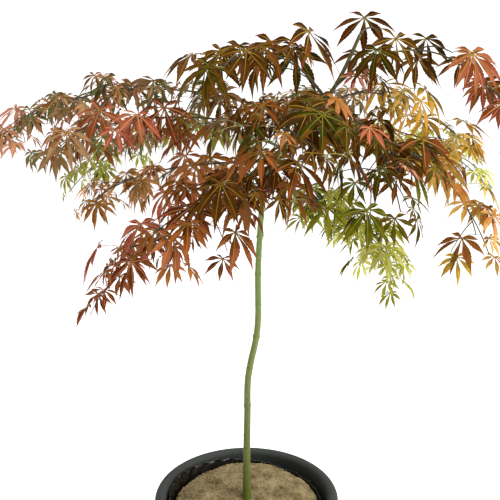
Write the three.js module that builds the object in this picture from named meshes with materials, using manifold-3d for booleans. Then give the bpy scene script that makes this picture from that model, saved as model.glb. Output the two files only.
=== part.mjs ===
// A young potted palmate maple, grown as a small umbrella standard: one thin green stem in a
// round-rimmed pot, twelve boughs that leave its top in pairs, and fifteen sprays of foliage.
// Millimetres, +Z up, origin in the middle of the pot's flat underside. -Y is the front.
import * as THREE from "three";
import { mergeVertices } from "three/addons/utils/BufferGeometryUtils.js";
import Module from "manifold-3d";

const wasm = await Module();
wasm.setup();

// ---------------------------------------------------------------- driving dimensions
const GAP = 0.3; // clearance between neighbouring pieces

const POT = {
  height: 175, baseRadius: 68, baseCorner: 5, shoulderRadius: 91, shoulderHeight: 144,
  rimRadius: 100, rimWidth: 15, wall: 6.5, floor: 7, around: 30,
  drainHoles: 5, drainRadius: 5, drainCircle: 42,
};
const LINER = { film: 1.2, lip: 168, slack: 1.6 };
const ROOT_BALL = { radius: 78, footRadius: 56, edge: 164.5, crown: 169.5, seat: 9, around: 24 };

// The stem's centreline, from the soil to the tip where the highest spray begins.
const STEM_BENDS = [
  [0.5, 0, 169.8], [0.3, 0, 225], [1, 0, 264], [1.5, 0, 302], [4.4, 0, 323], [9.6, 0, 348],
  [12, 0, 370], [12, 0, 420], [13.4, 0, 455], [16, 0, 489], [23, -3, 522], [42, -9, 556],
  [75, -18, 594], [88, -20, 615], [105, -22, 653],
];
const STEM = { footRadius: 5.2, radius: 3.7, tipRadius: 1.6, flare: 26, sides: 8, steps: 32 };

// The limbs. from: height at which the limb leaves the stem. heading: compass, 0 is +X and 90 is
// +Y. reach: how far out it goes. lift: how hard it arches. tip: height of its tip above its
// start. sweep: how far the heading turns by the tip. bare: the share that is bough. tint: leaf.
// internode: the spacing of its nodes, where it isn't the usual one. nodes: how many it has, where
// the spacing doesn't tell.
const LIMBS = {
  high_right: {
    from: 606, heading: 353, reach: 165, lift: 50, tip: -50, sweep: 0, bare: 0, tint: "bronze",
    internode: 34,
  },
  high_left: {
    from: 594, heading: 207, reach: 137, lift: 56, tip: -10, sweep: -6, bare: 0, tint: "bronze",
    internode: 30,
  },
  front: {
    from: 583, heading: 247, reach: 159, lift: 10, tip: -56, sweep: 5, bare: 0.15, tint: "bronze",
  },
  right_mid: {
    from: 583, heading: 34, reach: 152, lift: 28, tip: -34, sweep: -10, bare: 0.15, tint: "amber",
  },
  upper_left: {
    from: 571, heading: 160, reach: 316, lift: 46, tip: -10, sweep: 7, bare: 0.16, tint: "russet",
  },
  front_right: {
    from: 571, heading: 300, reach: 150, lift: 22, tip: -62, sweep: -3, bare: 0.2, tint: "coral",
  },
  left: {
    from: 559, heading: 193, reach: 236, lift: 28, tip: -14, sweep: -11, bare: 0.16, tint: "russet",
  },
  right_low: {
    from: 559, heading: 333, reach: 188, lift: 14, tip: -98, sweep: 3, bare: 0.13, tint: "bronze",
  },
  left_back: {
    from: 547, heading: 132, reach: 290, lift: 32, tip: -62, sweep: 17, bare: 0.15, tint: "olive",
  },
  right_back: {
    from: 547, heading: 51, reach: 310, lift: 28, tip: -56, sweep: -17, bare: 0.14, tint: "lime",
  },
  left_low: {
    from: 535, heading: 177, reach: 195, lift: -1, tip: -50, sweep: -1, bare: 0.2, tint: "russet",
  },
  back: {
    from: 535, heading: 66, reach: 214, lift: 76, tip: 34, sweep: -2, bare: 0.18, tint: "olive",
  },
  front_left: {
    from: 523, heading: 260, reach: 187, lift: 8, tip: -82, sweep: -38, bare: 0.15, tint: "russet",
  },
  right_drop: {
    from: 523, heading: 17, reach: 134, lift: -34, tip: -112, sweep: -2, bare: 0.18, tint: "olive",
    internode: 22,
  },
  top: {
    from: 653, heading: 20, reach: 20, lift: 8, tip: 2, sweep: 0, bare: 0, tint: "bronze",
    nodes: 2,
  },
};
const BOUGH = { radius: 1.9, tipRadius: 1.5, sides: 5, steps: 3 };
const SPRAY = {
  stemRadius: 1.3, stemTip: 0.8, twigRadius: 1, twigTip: 0.8, stalkRadius: 0.42,
  sides: 3, internode: 27, twigLength: 62, twigDroop: 0.35, pairAt: 0.55, petiole: 24,
  droop: 60, youngDroop: 76,
};
// How a leaf gives way until it has room: shares of its size, and degrees more droop and turn.
const GIVING_WAY = [
  [1, 0, 0], [1, -22, 0], [1, 16, 0], [0.86, 0, 24], [0.86, 0, -24], [0.72, -12, 0], [0.72, 14, 30],
];
// One leaf: the lobes' headings in degrees and their lengths as shares of the middle lobe.
const LEAF = {
  length: 46, thickness: 1.7, curl: 0.2, bearing: [0, 37, 78], lobes: [1, 0.94, 0.74],
  bays: [0.32, 0.28], heel: 0.05, heelBearing: 152,
};
// How far the points of a leaf keep from the middles of the stem and boughs, from its own
// spray's other leaves, and from the leaves, stem and twigs of every other spray.
const ROOM = { limbs: 8, ownLeaves: 6, otherLeaves: 9, otherWood: 7, twigs: 9 };
const SEED = 20260;

const COLOURS = {
  pot: [0x3a3e3c, 0.45], liner: [0x17191a, 0.3], soil: [0x8f7d5b, 0.95], stem: [0x7f9350, 0.6],
  bough: [0x6b7a45, 0.65], bronze: [0x6a3d1c, 0.55], russet: [0xa4552f, 0.55],
  coral: [0xc8543a, 0.55], amber: [0xc98a2b, 0.55], olive: [0x6f7a2c, 0.55],
  lime: [0xb9bb4e, 0.55],
};

// ---------------------------------------------------------------- small helpers
const V = (x, y, z) => new THREE.Vector3(x, y, z);
const UP = V(0, 0, 1);
const rad = THREE.MathUtils.degToRad;
const mix = THREE.MathUtils.lerp;

// A seeded run of numbers from 0 to 1, the same on every machine.
function seeded(seed) {
  let state = seed;
  return () => {
    state = (state * 48271) % 2147483647;
    return state / 2147483647;
  };
}

// A closed mesh as a manifold-3d solid, and back again as a geometry.
function solid(geometry) {
  const bare = geometry.clone();
  bare.deleteAttribute("normal");
  bare.deleteAttribute("uv");
  const merged = mergeVertices(bare, 1e-4);
  return new wasm.Manifold(
    new wasm.Mesh({
      numProp: 3,
      vertProperties: merged.attributes.position.array,
      triVerts: new Uint32Array(merged.index.array),
    }),
  );
}

function geometryOf(body) {
  const mesh = body.getMesh();
  const geometry = new THREE.BufferGeometry();
  geometry.setAttribute("position", new THREE.BufferAttribute(mesh.vertProperties, 3));
  geometry.setIndex(new THREE.BufferAttribute(mesh.triVerts, 1));
  geometry.computeVertexNormals();
  return geometry;
}

// A solid from its corner points and its triangles, each a triple of point numbers.
function faceted(points, faces) {
  const geometry = new THREE.BufferGeometry().setFromPoints(points);
  geometry.setIndex(faces.flat());
  return solid(geometry);
}

// A round limb along a row of points, with its own radius at each of them and flat ends.
function limbSolid(points, radii, sides) {
  const ring = [];
  let across = V(0, 1, 0);
  points.forEach((point, i) => {
    const ahead = points[Math.min(i + 1, points.length - 1)];
    const behind = points[Math.max(i - 1, 0)];
    const along = ahead.clone().sub(behind).normalize();
    if (i === 0 && Math.abs(along.y) > 0.9) across = V(1, 0, 0);
    across = across.sub(along.clone().multiplyScalar(across.dot(along))).normalize();
    const third = along.clone().cross(across);
    for (let k = 0; k < sides; k++) {
      const turn = (2 * Math.PI * k) / sides;
      ring.push(
        point.clone()
          .addScaledVector(across, radii[i] * Math.cos(turn))
          .addScaledVector(third, radii[i] * Math.sin(turn)),
      );
    }
  });
  const faces = [];
  const last = (points.length - 1) * sides;
  for (let k = 0; k < sides; k++) {
    const next = (k + 1) % sides;
    for (let base = 0; base < last; base += sides)
      faces.push(
        [base + k, base + next, base + sides + next],
        [base + k, base + sides + next, base + sides + k],
      );
    if (k > 0 && k < sides - 1) faces.push([0, k + 1, k], [last, last + k, last + k + 1]);
  }
  return faceted(ring, faces);
}

// ---------------------------------------------------------------- pot, liner and root ball
// Turns an outline of [radius, height] points round the pot's axis.
function turned(outline, around) {
  const profile = outline.map(([r, z]) => new THREE.Vector2(r, z));
  return solid(new THREE.LatheGeometry(profile, around).rotateX(Math.PI / 2));
}

// Points on an arc in the outline's plane, from one angle to another.
function arc(radius, height, size, from, to, count) {
  return Array.from({ length: count + 1 }, (_, i) => {
    const turn = rad(mix(from, to, i / count));
    return [radius + size * Math.cos(turn), height + size * Math.sin(turn)];
  });
}

function pot() {
  const lip = POT.rimWidth / 2;
  const lipMiddle = POT.rimRadius - lip;
  const inner = POT.rimRadius - POT.rimWidth;
  const body = turned([
    [0, 0], ...arc(POT.baseRadius - POT.baseCorner, POT.baseCorner, POT.baseCorner, -90, -8, 2),
    [POT.shoulderRadius, POT.shoulderHeight], [POT.rimRadius - 2, POT.shoulderHeight + 3],
    ...arc(lipMiddle, POT.height - lip, lip, 0, 180, 6),
    [inner - 0.5, POT.shoulderHeight], [POT.baseRadius - POT.wall, POT.floor],
    [0, POT.floor],
  ], POT.around);
  return Array.from({ length: POT.drainHoles }, (_, i) => (2 * Math.PI * i) / POT.drainHoles)
    .reduce((rest, turn) => {
      const drill = new THREE.CylinderGeometry(POT.drainRadius, POT.drainRadius, 3 * POT.floor, 7);
      drill.rotateX(Math.PI / 2);
      drill.translate(POT.drainCircle * Math.cos(turn), POT.drainCircle * Math.sin(turn), 0);
      return rest.subtract(solid(drill));
    }, body);
}

// The height at which the root ball's side stops flaring, and its radius at any height.
const ballKnee = mix(ROOT_BALL.seat, ROOT_BALL.edge, 0.8);

function liner() {
  const bottom = POT.floor + GAP;
  const inside = ROOT_BALL.seat - GAP;
  const outer = LINER.slack + LINER.film;
  return turned([
    [0, bottom], [ROOT_BALL.footRadius + outer, bottom], [ROOT_BALL.radius + outer, ballKnee],
    [ROOT_BALL.radius + outer, LINER.lip], [ROOT_BALL.radius + LINER.slack, LINER.lip],
    [ROOT_BALL.radius + LINER.slack, ballKnee], [ROOT_BALL.footRadius + LINER.slack, inside],
    [0, inside],
  ], ROOT_BALL.around);
}

function rootBall() {
  const rise = ROOT_BALL.crown - ROOT_BALL.edge;
  return turned([
    [0, ROOT_BALL.seat], [ROOT_BALL.footRadius, ROOT_BALL.seat], [ROOT_BALL.radius, ballKnee],
    [ROOT_BALL.radius, ROOT_BALL.edge - 3], [ROOT_BALL.radius - 3, ROOT_BALL.edge],
    [ROOT_BALL.radius * 0.55, ROOT_BALL.edge + 0.75 * rise],
    [STEM.footRadius * 2, ROOT_BALL.crown], [0, ROOT_BALL.crown],
  ], ROOT_BALL.around);
}

// ---------------------------------------------------------------- stem and boughs
const stemLine = new THREE.CatmullRomCurve3(STEM_BENDS.map((p) => V(...p)), false, "centripetal");
const stemFoot = STEM_BENDS[0][2];
const stemTop = STEM_BENDS.at(-1)[2];

function stemRadiusAt(z) {
  const up = (z - stemFoot) / (stemTop - stemFoot);
  const flare = (STEM.footRadius - STEM.radius) * Math.exp(-(z - stemFoot) / STEM.flare);
  return mix(STEM.radius, STEM.tipRadius, up * up) + flare;
}

// The point of the stem's centreline at a height: the line always climbs, so halving finds it.
function stemPointAt(z) {
  let low = 0;
  let high = 1;
  for (let i = 0; i < 30; i++) {
    const middle = (low + high) / 2;
    if (stemLine.getPoint(middle).z < z) low = middle;
    else high = middle;
  }
  return stemLine.getPoint(low);
}

// The stem, or the same with its side moved out by a clearance. It starts straight up, so that
// its foot is cut level.
function stem(extra = 0) {
  const shares = Array.from({ length: STEM.steps + 1 }, (_, i) => i / STEM.steps);
  const points = shares.map((share) => stemLine.getPoint(share));
  points[1].setX(points[0].x);
  return limbSolid(points, points.map((p) => stemRadiusAt(p.z) + extra), STEM.sides);
}

// The point at share t of a limb: out along its heading, over the top of its arch and down.
function limbPoint(limb, t) {
  const start = stemPointAt(limb.from);
  const heading = rad(limb.heading + limb.sweep * t);
  const s = 1 - t;
  const out = limb.reach * (3 * s * s * t * 0.3 + 3 * s * t * t * 0.75 + t * t * t);
  const rise = limb.lift * (3 * s * s * t + 3 * s * t * t) + limb.tip * t * t * t;
  return V(start.x + out * Math.cos(heading), start.y + out * Math.sin(heading), start.z + rise);
}

const limbPoints = (limb, from, to, steps) =>
  Array.from({ length: steps + 1 }, (_, i) => limbPoint(limb, mix(from, to, i / steps)));

const stemAround = stem(GAP);

function bough(limb) {
  const points = limbPoints(limb, 0, limb.bare, BOUGH.steps);
  const radii = points.map((_, i) => mix(BOUGH.radius, BOUGH.tipRadius, i / BOUGH.steps));
  return limbSolid(points, radii, BOUGH.sides).subtract(stemAround);
}

// ---------------------------------------------------------------- sprays of foliage
// Whether a spray grows from the stem's side with no bough under it.
const growsFromSide = (limb) => !limb.bare && limb.from < stemTop;

// The share of a limb at which its spray begins: just clear of the bough's or the stem's tip.
function sprayStart(limb) {
  if (growsFromSide(limb)) return 0;
  const wanted = limb.bare ? GAP + 0.1 : 2 * GAP;
  const end = limbPoint(limb, limb.bare);
  let t = limb.bare;
  while (limbPoint(limb, t).distanceTo(end) < wanted) t += 0.0005;
  return t;
}

// Two directions at right angles to a twig: level to its side, and the upper of the others.
function twigSides(along) {
  const side = along.clone().cross(UP).normalize();
  return { side, over: side.clone().cross(along).normalize() };
}

// Grows one spray: its stem, its side twigs and the places of its leaves. Leaves stand in pairs;
// at every other node one of the pair is a side twig instead, with two pairs and an end leaf.
function growSpray(name, limb, index) {
  const random = seeded(SEED + 977 * index);
  for (let i = 0; i < 5; i++) random();
  const start = sprayStart(limb);
  const line = limbPoints(limb, start, 1, 48);
  const total = line.reduce((sum, p, i) => sum + (i ? p.distanceTo(line[i - 1]) : 0), 0);
  const spray = { name, stem: [line[0]], twigs: [], buds: [] };
  const spaced = Math.max(3, Math.round(total / (limb.internode ?? SPRAY.internode)));
  const nodes = limb.nodes ?? spaced;
  for (let n = 1; n <= nodes; n++) {
    const t = mix(start, 1, (n - (n < nodes ? 0.25 + 0.3 * random() : 0)) / nodes);
    const point = limbPoint(limb, t);
    const along = limbPoint(limb, t + 0.01).sub(limbPoint(limb, t - 0.01)).normalize();
    const fade = n / nodes;
    spray.stem.push(point);
    for (const hand of [-1, 1]) {
      const isTwig = n < nodes && (n + (hand > 0 ? 1 : 0)) % 2 === 0;
      if (isTwig) spray.twigs.push(growTwig(point, along, hand, fade, random));
      else spray.buds.push(budAt(point, along, hand, fade, random));
    }
    if (n === nodes) spray.buds.push(budAt(point, along, 0, 1, random));
  }
  for (const twig of spray.twigs)
    for (const [share, hand] of [[SPRAY.pairAt, -1], [SPRAY.pairAt, 1], [1, -1], [1, 1], [1, 0]]) {
      const point = twig.at(share);
      const along = twig.at(share).sub(twig.at(share - 0.1)).normalize();
      const fade = Math.min(1, twig.fade * 0.6 + 0.4 * share);
      spray.buds.push(budAt(point, along, hand, fade, random, twig));
    }
  return spray;
}

function growTwig(point, along, hand, fade, random) {
  const { side } = twigSides(along);
  const way = side.multiplyScalar(hand * (0.72 + 0.2 * random()))
    .addScaledVector(along, 0.62).addScaledVector(UP, 0.1 + 0.25 * random()).normalize();
  const length = SPRAY.twigLength * (1 - 0.45 * fade) * (0.85 + 0.3 * random());
  const at = (s) => point.clone().addScaledVector(way, length * s)
    .addScaledVector(UP, -SPRAY.twigDroop * length * s * s);
  return { at, fade, points: [0, SPRAY.pairAt, 1].map(at) };
}

// Where a leaf is set, which way its stalk goes and how its blade would hang. hand is -1 or 1 for
// a leaf of a pair, and 0 for the single one at a tip.
function budAt(point, along, hand, fade, random, twig) {
  const { side, over } = twigSides(along);
  const young = fade > 0.93;
  const size = mix(1.08, young ? 0.5 : 0.68, fade * fade) * (0.88 + 0.24 * random());
  const stalk = SPRAY.petiole * size * (0.85 + 0.4 * random());
  const way = side.multiplyScalar(hand * (0.7 + 0.25 * random()))
    .addScaledVector(along, hand ? 0.55 : 1).addScaledVector(over, 0.15 + 0.45 * random()).normalize();
  const droop = (young ? SPRAY.youngDroop : SPRAY.droop) + 30 * (random() - 0.5);
  const roll = rad(36 * (random() - 0.5));
  return { root: point.clone(), way, stalk, droop, roll, length: LEAF.length * size, twig };
}

// The leaf that grows from a bud when it gives way by so much: where its blade joins the stalk,
// and the blade's three directions.
function leafOf(bud, [size, droopMore, turn]) {
  const droop = rad(bud.droop + droopMore);
  const level = V(bud.way.x, bud.way.y, 0).normalize().applyAxisAngle(UP, rad(turn));
  const flat = UP.clone().cross(level);
  const ahead = level.multiplyScalar(Math.cos(droop)).addScaledVector(UP, -Math.sin(droop));
  const across = flat.clone().multiplyScalar(Math.cos(bud.roll))
    .addScaledVector(ahead.clone().cross(flat), Math.sin(bud.roll));
  const face = ahead.clone().cross(across);
  const base = bud.root.clone().addScaledVector(bud.way, bud.stalk * size);
  return { root: bud.root, base, ahead, across, face, length: bud.length * size };
}

// The point of a leaf at a bearing and a distance from its base, both shares of its length.
function leafPoint(leaf, bearing, reach, lift = 0) {
  const r = leaf.length * reach;
  return leaf.base.clone()
    .addScaledVector(leaf.ahead, r * Math.cos(bearing))
    .addScaledVector(leaf.across, r * Math.sin(bearing))
    .addScaledVector(leaf.face, lift - LEAF.curl * leaf.length * reach * reach);
}

// Bearings and reaches of the rim of a leaf: the two corners of its heel, then tips and bays.
const RIM = (() => {
  const half = [[rad(LEAF.heelBearing), LEAF.heel]];
  for (let lobe = LEAF.lobes.length - 1; lobe > 0; lobe--) {
    half.push([rad(LEAF.bearing[lobe]), LEAF.lobes[lobe]]);
    half.push([rad((LEAF.bearing[lobe] + LEAF.bearing[lobe - 1]) / 2), LEAF.bays[lobe - 1]]);
  }
  const mirrored = half.map(([bearing, reach]) => [-bearing, reach]);
  return [...mirrored, [0, LEAF.lobes[0]], ...half.reverse()];
})();

// Points all over a leaf and its stalk, for the tests of what it would touch.
function leafSamples(leaf) {
  const samples = [0, 0.5, 0.75].map((share) => leaf.base.clone().lerp(leaf.root, share));
  for (const [bearing, reach] of RIM) {
    const shares = reach > 0.5 ? [0.25, 0.45, 0.63, 0.82, 1] : [1];
    for (const share of shares) samples.push(leafPoint(leaf, bearing, reach * share));
  }
  return samples;
}

// A leaf and its stalk as one solid: a thin blade with a ridge in its middle and a sharp rim, and
// a three-sided stalk that runs from the blade's heel down to a point inside its twig.
function leafSolid(leaf) {
  const half = LEAF.thickness / 2;
  const points = RIM.map(([bearing, reach]) => leafPoint(leaf, bearing, reach));
  const count = points.length;
  const back = leaf.root.clone().sub(leaf.base).normalize();
  const side = back.dot(leaf.face) > 0 ? 1 : -1;
  const near = count;
  const far = count + 1;
  points.push(leafPoint(leaf, 0, 0, side * half), leafPoint(leaf, 0, 0, -side * half));
  const corners = [count - 1, 0, near];
  const middle = corners.reduce((sum, c) => sum.add(points[c]), V(0, 0, 0)).divideScalar(3);
  for (const corner of corners) {
    const offset = points[corner].clone().sub(middle);
    offset.addScaledVector(back, -offset.dot(back)).setLength(SPRAY.stalkRadius);
    points.push(leaf.root.clone().add(offset));
  }
  const faces = [[0, count - 1, far]];
  for (let k = 0; k < count - 1; k++) faces.push([k, k + 1, near], [k + 1, k, far]);
  for (let k = 0; k < 3; k++) {
    const [a, b] = [corners[k], corners[(k + 1) % 3]];
    const [c, d] = [count + 2 + k, count + 2 + ((k + 1) % 3)];
    faces.push([a, b, d], [a, d, c]);
  }
  faces.push([count + 2, count + 3, count + 4]);
  return faceted(points, side > 0 ? faces : faces.map(([a, b, c]) => [a, c, b]));
}

// ---------------------------------------------------------------- each spray's own space
const nearest = (point, others) => Math.min(...others.map((other) => other.distanceTo(point)));
const clear = (points, others, room) => points.every((point) => nearest(point, others) > room);

// Points along a spray's wood: its stem, and its side twigs as well where they are wanted.
function woodOf(spray, twigs = []) {
  const lines = [spray.stem, ...twigs.map((twig) => twig.points)];
  return lines.flatMap((line) =>
    line.slice(1).flatMap((end, i) =>
      [0, 0.2, 0.4, 0.6, 0.8, 1].map((share) => line[i].clone().lerp(end, share)),
    ),
  );
}

const limbs = Object.entries(LIMBS);
const limbWood = [
  ...Array.from({ length: 90 }, (_, i) => stemLine.getPoint(i / 89)),
  ...limbs.filter(([, limb]) => limb.bare).flatMap(([, limb]) => limbPoints(limb, 0, limb.bare, 12)),
];
const sprays = limbs.map(([name, limb], index) => growSpray(name, limb, index));

// Leaves out the side twigs that come near a limb, or nearer to another spray than to their own.
for (const spray of sprays) {
  const own = woodOf(spray);
  const others = sprays.filter((other) => other !== spray)
    .flatMap((other) => woodOf(other, other.kept));
  spray.kept = spray.twigs.filter(
    (twig) => twig.points.slice(1).every((p) => nearest(p, own) < nearest(p, others) + 4) &&
      clear(twig.points.slice(1), others, ROOM.twigs) &&
      clear(twig.points.slice(1), limbWood, 2 * ROOM.limbs),
  );
}

// Gives the sprays their leaves in turn. A leaf keeps to room that no other spray has taken: it
// turns or grows smaller until it has room, and is left out where it finds none.
for (const spray of sprays) {
  spray.leaves = [];
  spray.others = sprays.filter((other) => other !== spray)
    .flatMap((other) => woodOf(other, other.kept));
}
const taken = [];

function hasRoom(spray, leaf) {
  const samples = leafSamples(leaf);
  if (!clear(samples.slice(3), limbWood, ROOM.limbs)) return false;
  if (!clear(samples, spray.others, ROOM.otherWood)) return false;
  return taken.every((other) => {
    const room = other.spray === spray ? ROOM.ownLeaves : ROOM.otherLeaves;
    if (other.leaf.base.distanceTo(leaf.base) > other.leaf.length + leaf.length + 2 * room) return true;
    return clear(other.spray === spray ? samples.slice(3) : samples, other.samples, room);
  });
}

const mostBuds = Math.max(...sprays.map((spray) => spray.buds.length));
for (let turn = 0; turn < mostBuds; turn++)
  for (const spray of sprays) {
    const bud = spray.buds[turn];
    if (!bud || (bud.twig && !spray.kept.includes(bud.twig))) continue;
    const leaf = GIVING_WAY.map((way) => leafOf(bud, way)).find((tried) => hasRoom(spray, tried));
    if (!leaf) continue;
    taken.push({ spray, leaf, samples: leafSamples(leaf) });
    spray.leaves.push(leaf);
    if (bud.twig) bud.twig.inLeaf = true;
  }

// A spray as one solid: its stem, the side twigs that carry leaves, and the leaves.
function spraySolid(spray) {
  const last = spray.stem.length - 1;
  const radii = spray.stem.map((_, i) => mix(SPRAY.stemRadius, SPRAY.stemTip, i / last));
  const twigRadii = [SPRAY.twigRadius, SPRAY.twigRadius, SPRAY.twigTip];
  const whole = limbSolid(spray.stem, radii, SPRAY.sides);
  const main = growsFromSide(LIMBS[spray.name]) ? whole.subtract(stemAround) : whole;
  const twigs = spray.kept.filter((twig) => twig.inLeaf);
  return [
    ...twigs.map((twig) => limbSolid(twig.points, twigRadii, SPRAY.sides)),
    ...spray.leaves.map(leafSolid),
  ].reduce((body, piece) => body.add(piece), main);
}

// ---------------------------------------------------------------- the plant
const plant = new THREE.Group();

function place(name, body, [colour, roughness]) {
  const material = new THREE.MeshStandardMaterial({ color: colour, roughness, metalness: 0 });
  const mesh = new THREE.Mesh(geometryOf(body), material);
  mesh.name = name;
  plant.add(mesh);
}

place("pot", pot(), COLOURS.pot);
place("liner", liner(), COLOURS.liner);
place("root_ball", rootBall(), COLOURS.soil);
place("stem", stem(), COLOURS.stem);
for (const [name, limb] of limbs)
  if (limb.bare) place(`bough_${name}`, bough(limb), COLOURS.bough);
for (const spray of sprays)
  place(`spray_${spray.name}`, spraySolid(spray), COLOURS[LIMBS[spray.name].tint]);

export default plant;
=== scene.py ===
"""A young potted palmate maple, dressed for show.

The pot, liner and root ball get smooth, finely finished stand-ins. The stem and boughs get bark
with its relief, and each spray of the model is grown again by the same seeded rule, with cut and
toothed leaves, stalks and fine twigs. Lengths are in millimetres while the plant grows, and turn
into metres where a mesh is made. +Z is up and -Y is the front.
"""

import logging
import math
from dataclasses import dataclass, field
from enum import Enum
from typing import ClassVar, Iterable, Sequence

import bpy
import numpy as np
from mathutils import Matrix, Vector, kdtree


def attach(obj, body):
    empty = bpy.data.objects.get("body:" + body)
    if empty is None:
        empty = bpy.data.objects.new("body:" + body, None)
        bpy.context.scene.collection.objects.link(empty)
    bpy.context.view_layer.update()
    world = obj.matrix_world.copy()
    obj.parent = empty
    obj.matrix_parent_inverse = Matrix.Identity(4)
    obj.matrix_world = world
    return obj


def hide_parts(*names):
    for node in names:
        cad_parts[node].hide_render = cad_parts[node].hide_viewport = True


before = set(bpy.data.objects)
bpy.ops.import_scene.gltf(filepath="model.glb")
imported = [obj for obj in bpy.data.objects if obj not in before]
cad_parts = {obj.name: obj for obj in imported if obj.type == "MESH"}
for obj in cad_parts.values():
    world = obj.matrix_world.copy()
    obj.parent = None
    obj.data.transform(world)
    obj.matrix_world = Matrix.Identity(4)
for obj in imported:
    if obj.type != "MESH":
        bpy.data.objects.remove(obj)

LOG = logging.getLogger("maple")
MM = 0.001
BODY = "root"
SEED = 20260
UP = np.array([0.0, 0.0, 1.0])
GAP = 0.3

Colour = tuple[int, int, int]
Value = float | bpy.types.NodeSocket
Pair = tuple[float, float]


# ---------------------------------------------------------------- small helpers
def mix(a: float, b: float, share: float) -> float:
    """Returns the number at a share of the way from a to b."""
    return a + (b - a) * share


def shares(steps: int) -> list[float]:
    """Returns the shares from 0 to 1 in equal steps."""
    return [i / steps for i in range(steps + 1)]


def unit(vector: np.ndarray) -> np.ndarray:
    """Returns a vector of length 1 that points the same way."""
    return vector / np.linalg.norm(vector)


def steps_of(line: Sequence[np.ndarray]) -> list[float]:
    """Returns the distances from each point of a line to the next."""
    return [float(np.linalg.norm(b - a)) for a, b in zip(line, line[1:])]


def xyz(x: float, y: float, z: float) -> np.ndarray:
    """Returns a point as an array."""
    return np.array([x, y, z], float)


def linear(colour: Colour) -> tuple[float, float, float, float]:
    """Turns a colour of 0 to 255 into the linear values that a shader takes.

    Args:
        colour: Red, green and blue as they show on a screen.

    Returns:
        Linear red, green, blue and a full alpha.
    """
    parts = [c / 255 for c in colour]
    values = [p / 12.92 if p <= 0.04045 else ((p + 0.055) / 1.055) ** 2.4 for p in parts]
    return (*values, 1.0)


class Draw:
    """A seeded run of numbers from 0 to 1, the same as in the model's own growth rule."""

    FACTOR = 48271
    LIMIT = 2147483647

    def __init__(self, seed: int) -> None:
        """Starts the run.

        Args:
            seed: The number that the run starts from.
        """
        self.state = seed

    def __call__(self) -> float:
        """Returns the next number of the run."""
        self.state = (self.state * self.FACTOR) % self.LIMIT
        return self.state / self.LIMIT

    def between(self, low: float, high: float) -> float:
        """Returns the next number, stretched to lie between two values."""
        return low + (high - low) * self()

    def over(self, base: float, spread: float) -> float:
        """Returns a base value and as much of a spread as the next number says."""
        return base + spread * self()


# ---------------------------------------------------------------- finishes
class Nodes:
    """Adds nodes to one shader or geometry tree and joins them, in few words."""

    def __init__(self, tree: bpy.types.NodeTree) -> None:
        """Takes the tree to work in.

        Args:
            tree: The node tree that gets the nodes.
        """
        self.tree = tree

    def add(self, kind: str, values: dict | None = None, **settings) -> bpy.types.Node:
        """Adds a node.

        Args:
            kind: The node's type name in Blender.
            values: What its inputs get, by name or number: a plain value or a socket to join.
            settings: The node's own properties.

        Returns:
            The new node.
        """
        node = self.tree.nodes.new(kind)
        for key, value in settings.items():
            setattr(node, key, value)
        for key, value in (values or {}).items():
            socket = node.inputs[key]
            if isinstance(value, bpy.types.NodeSocket):
                self.tree.links.new(value, socket)
            else:
                socket.default_value = value
        return node

    def link(self, source: bpy.types.NodeSocket, target: bpy.types.NodeSocket) -> None:
        """Joins an output to an input."""
        self.tree.links.new(source, target)

    def math(self, kind: str, first: Value, second: Value) -> bpy.types.NodeSocket:
        """Returns the output of a sum of two values or sockets."""
        return self.add("ShaderNodeMath", {0: first, 1: second}, operation=kind).outputs[0]

    def times(self, first: Value, second: Value) -> bpy.types.NodeSocket:
        """Returns the product of two values or sockets."""
        return self.math("MULTIPLY", first, second)

    def blend(self, share: Value, first: Value | tuple, second: Colour) -> bpy.types.NodeSocket:
        """Returns a colour that goes from a first one to a second one by a share."""
        values = {0: share, 6: first, 7: linear(second)}
        return self.add("ShaderNodeMix", values, data_type="RGBA").outputs[2]

    def noise(self, place: bpy.types.NodeSocket, scale: Value, detail: float,
              roughness: float = 0.5) -> bpy.types.NodeSocket:
        """Returns the value of a noise at a place."""
        values = {"Vector": place, "Scale": scale, "Detail": detail, "Roughness": roughness}
        return self.add("ShaderNodeTexNoise", values).outputs[0]

    def place(self) -> bpy.types.NodeSocket:
        """Returns the place on the object."""
        return self.add("ShaderNodeTexCoord").outputs["Object"]

    def dress(self, shader: bpy.types.Node, colour: bpy.types.NodeSocket,
              rough: bpy.types.NodeSocket, height: bpy.types.NodeSocket, strength: float,
              depth: float) -> None:
        """Joins a colour, a roughness and a bump to a material's main shader.

        Args:
            shader: The main shader.
            colour: The colour.
            rough: The roughness.
            height: The height that the bump is made from.
            strength: The bump's strength.
            depth: The bump's depth, in millimetres.
        """
        bump = self.add("ShaderNodeBump", {
            "Strength": strength, "Distance": depth * MM, "Height": height,
        })
        self.link(colour, shader.inputs["Base Color"])
        self.link(rough, shader.inputs["Roughness"])
        self.link(bump.outputs[0], shader.inputs["Normal"])

    def ramp(self, factor: bpy.types.NodeSocket, stops: Sequence[tuple]) -> bpy.types.NodeSocket:
        """Adds a colour ramp.

        Args:
            factor: What the ramp is read with.
            stops: Pairs of a place from 0 to 1 and a colour of 0 to 255.

        Returns:
            The ramp's colour output.
        """
        node = self.add("ShaderNodeValToRGB", {0: factor})
        elements = node.color_ramp.elements
        while len(elements) < len(stops):
            elements.new(0.5)
        for element, (place, colour) in zip(elements, stops):
            element.position = place
            element.color = linear(colour)
        return node.outputs[0]


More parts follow.
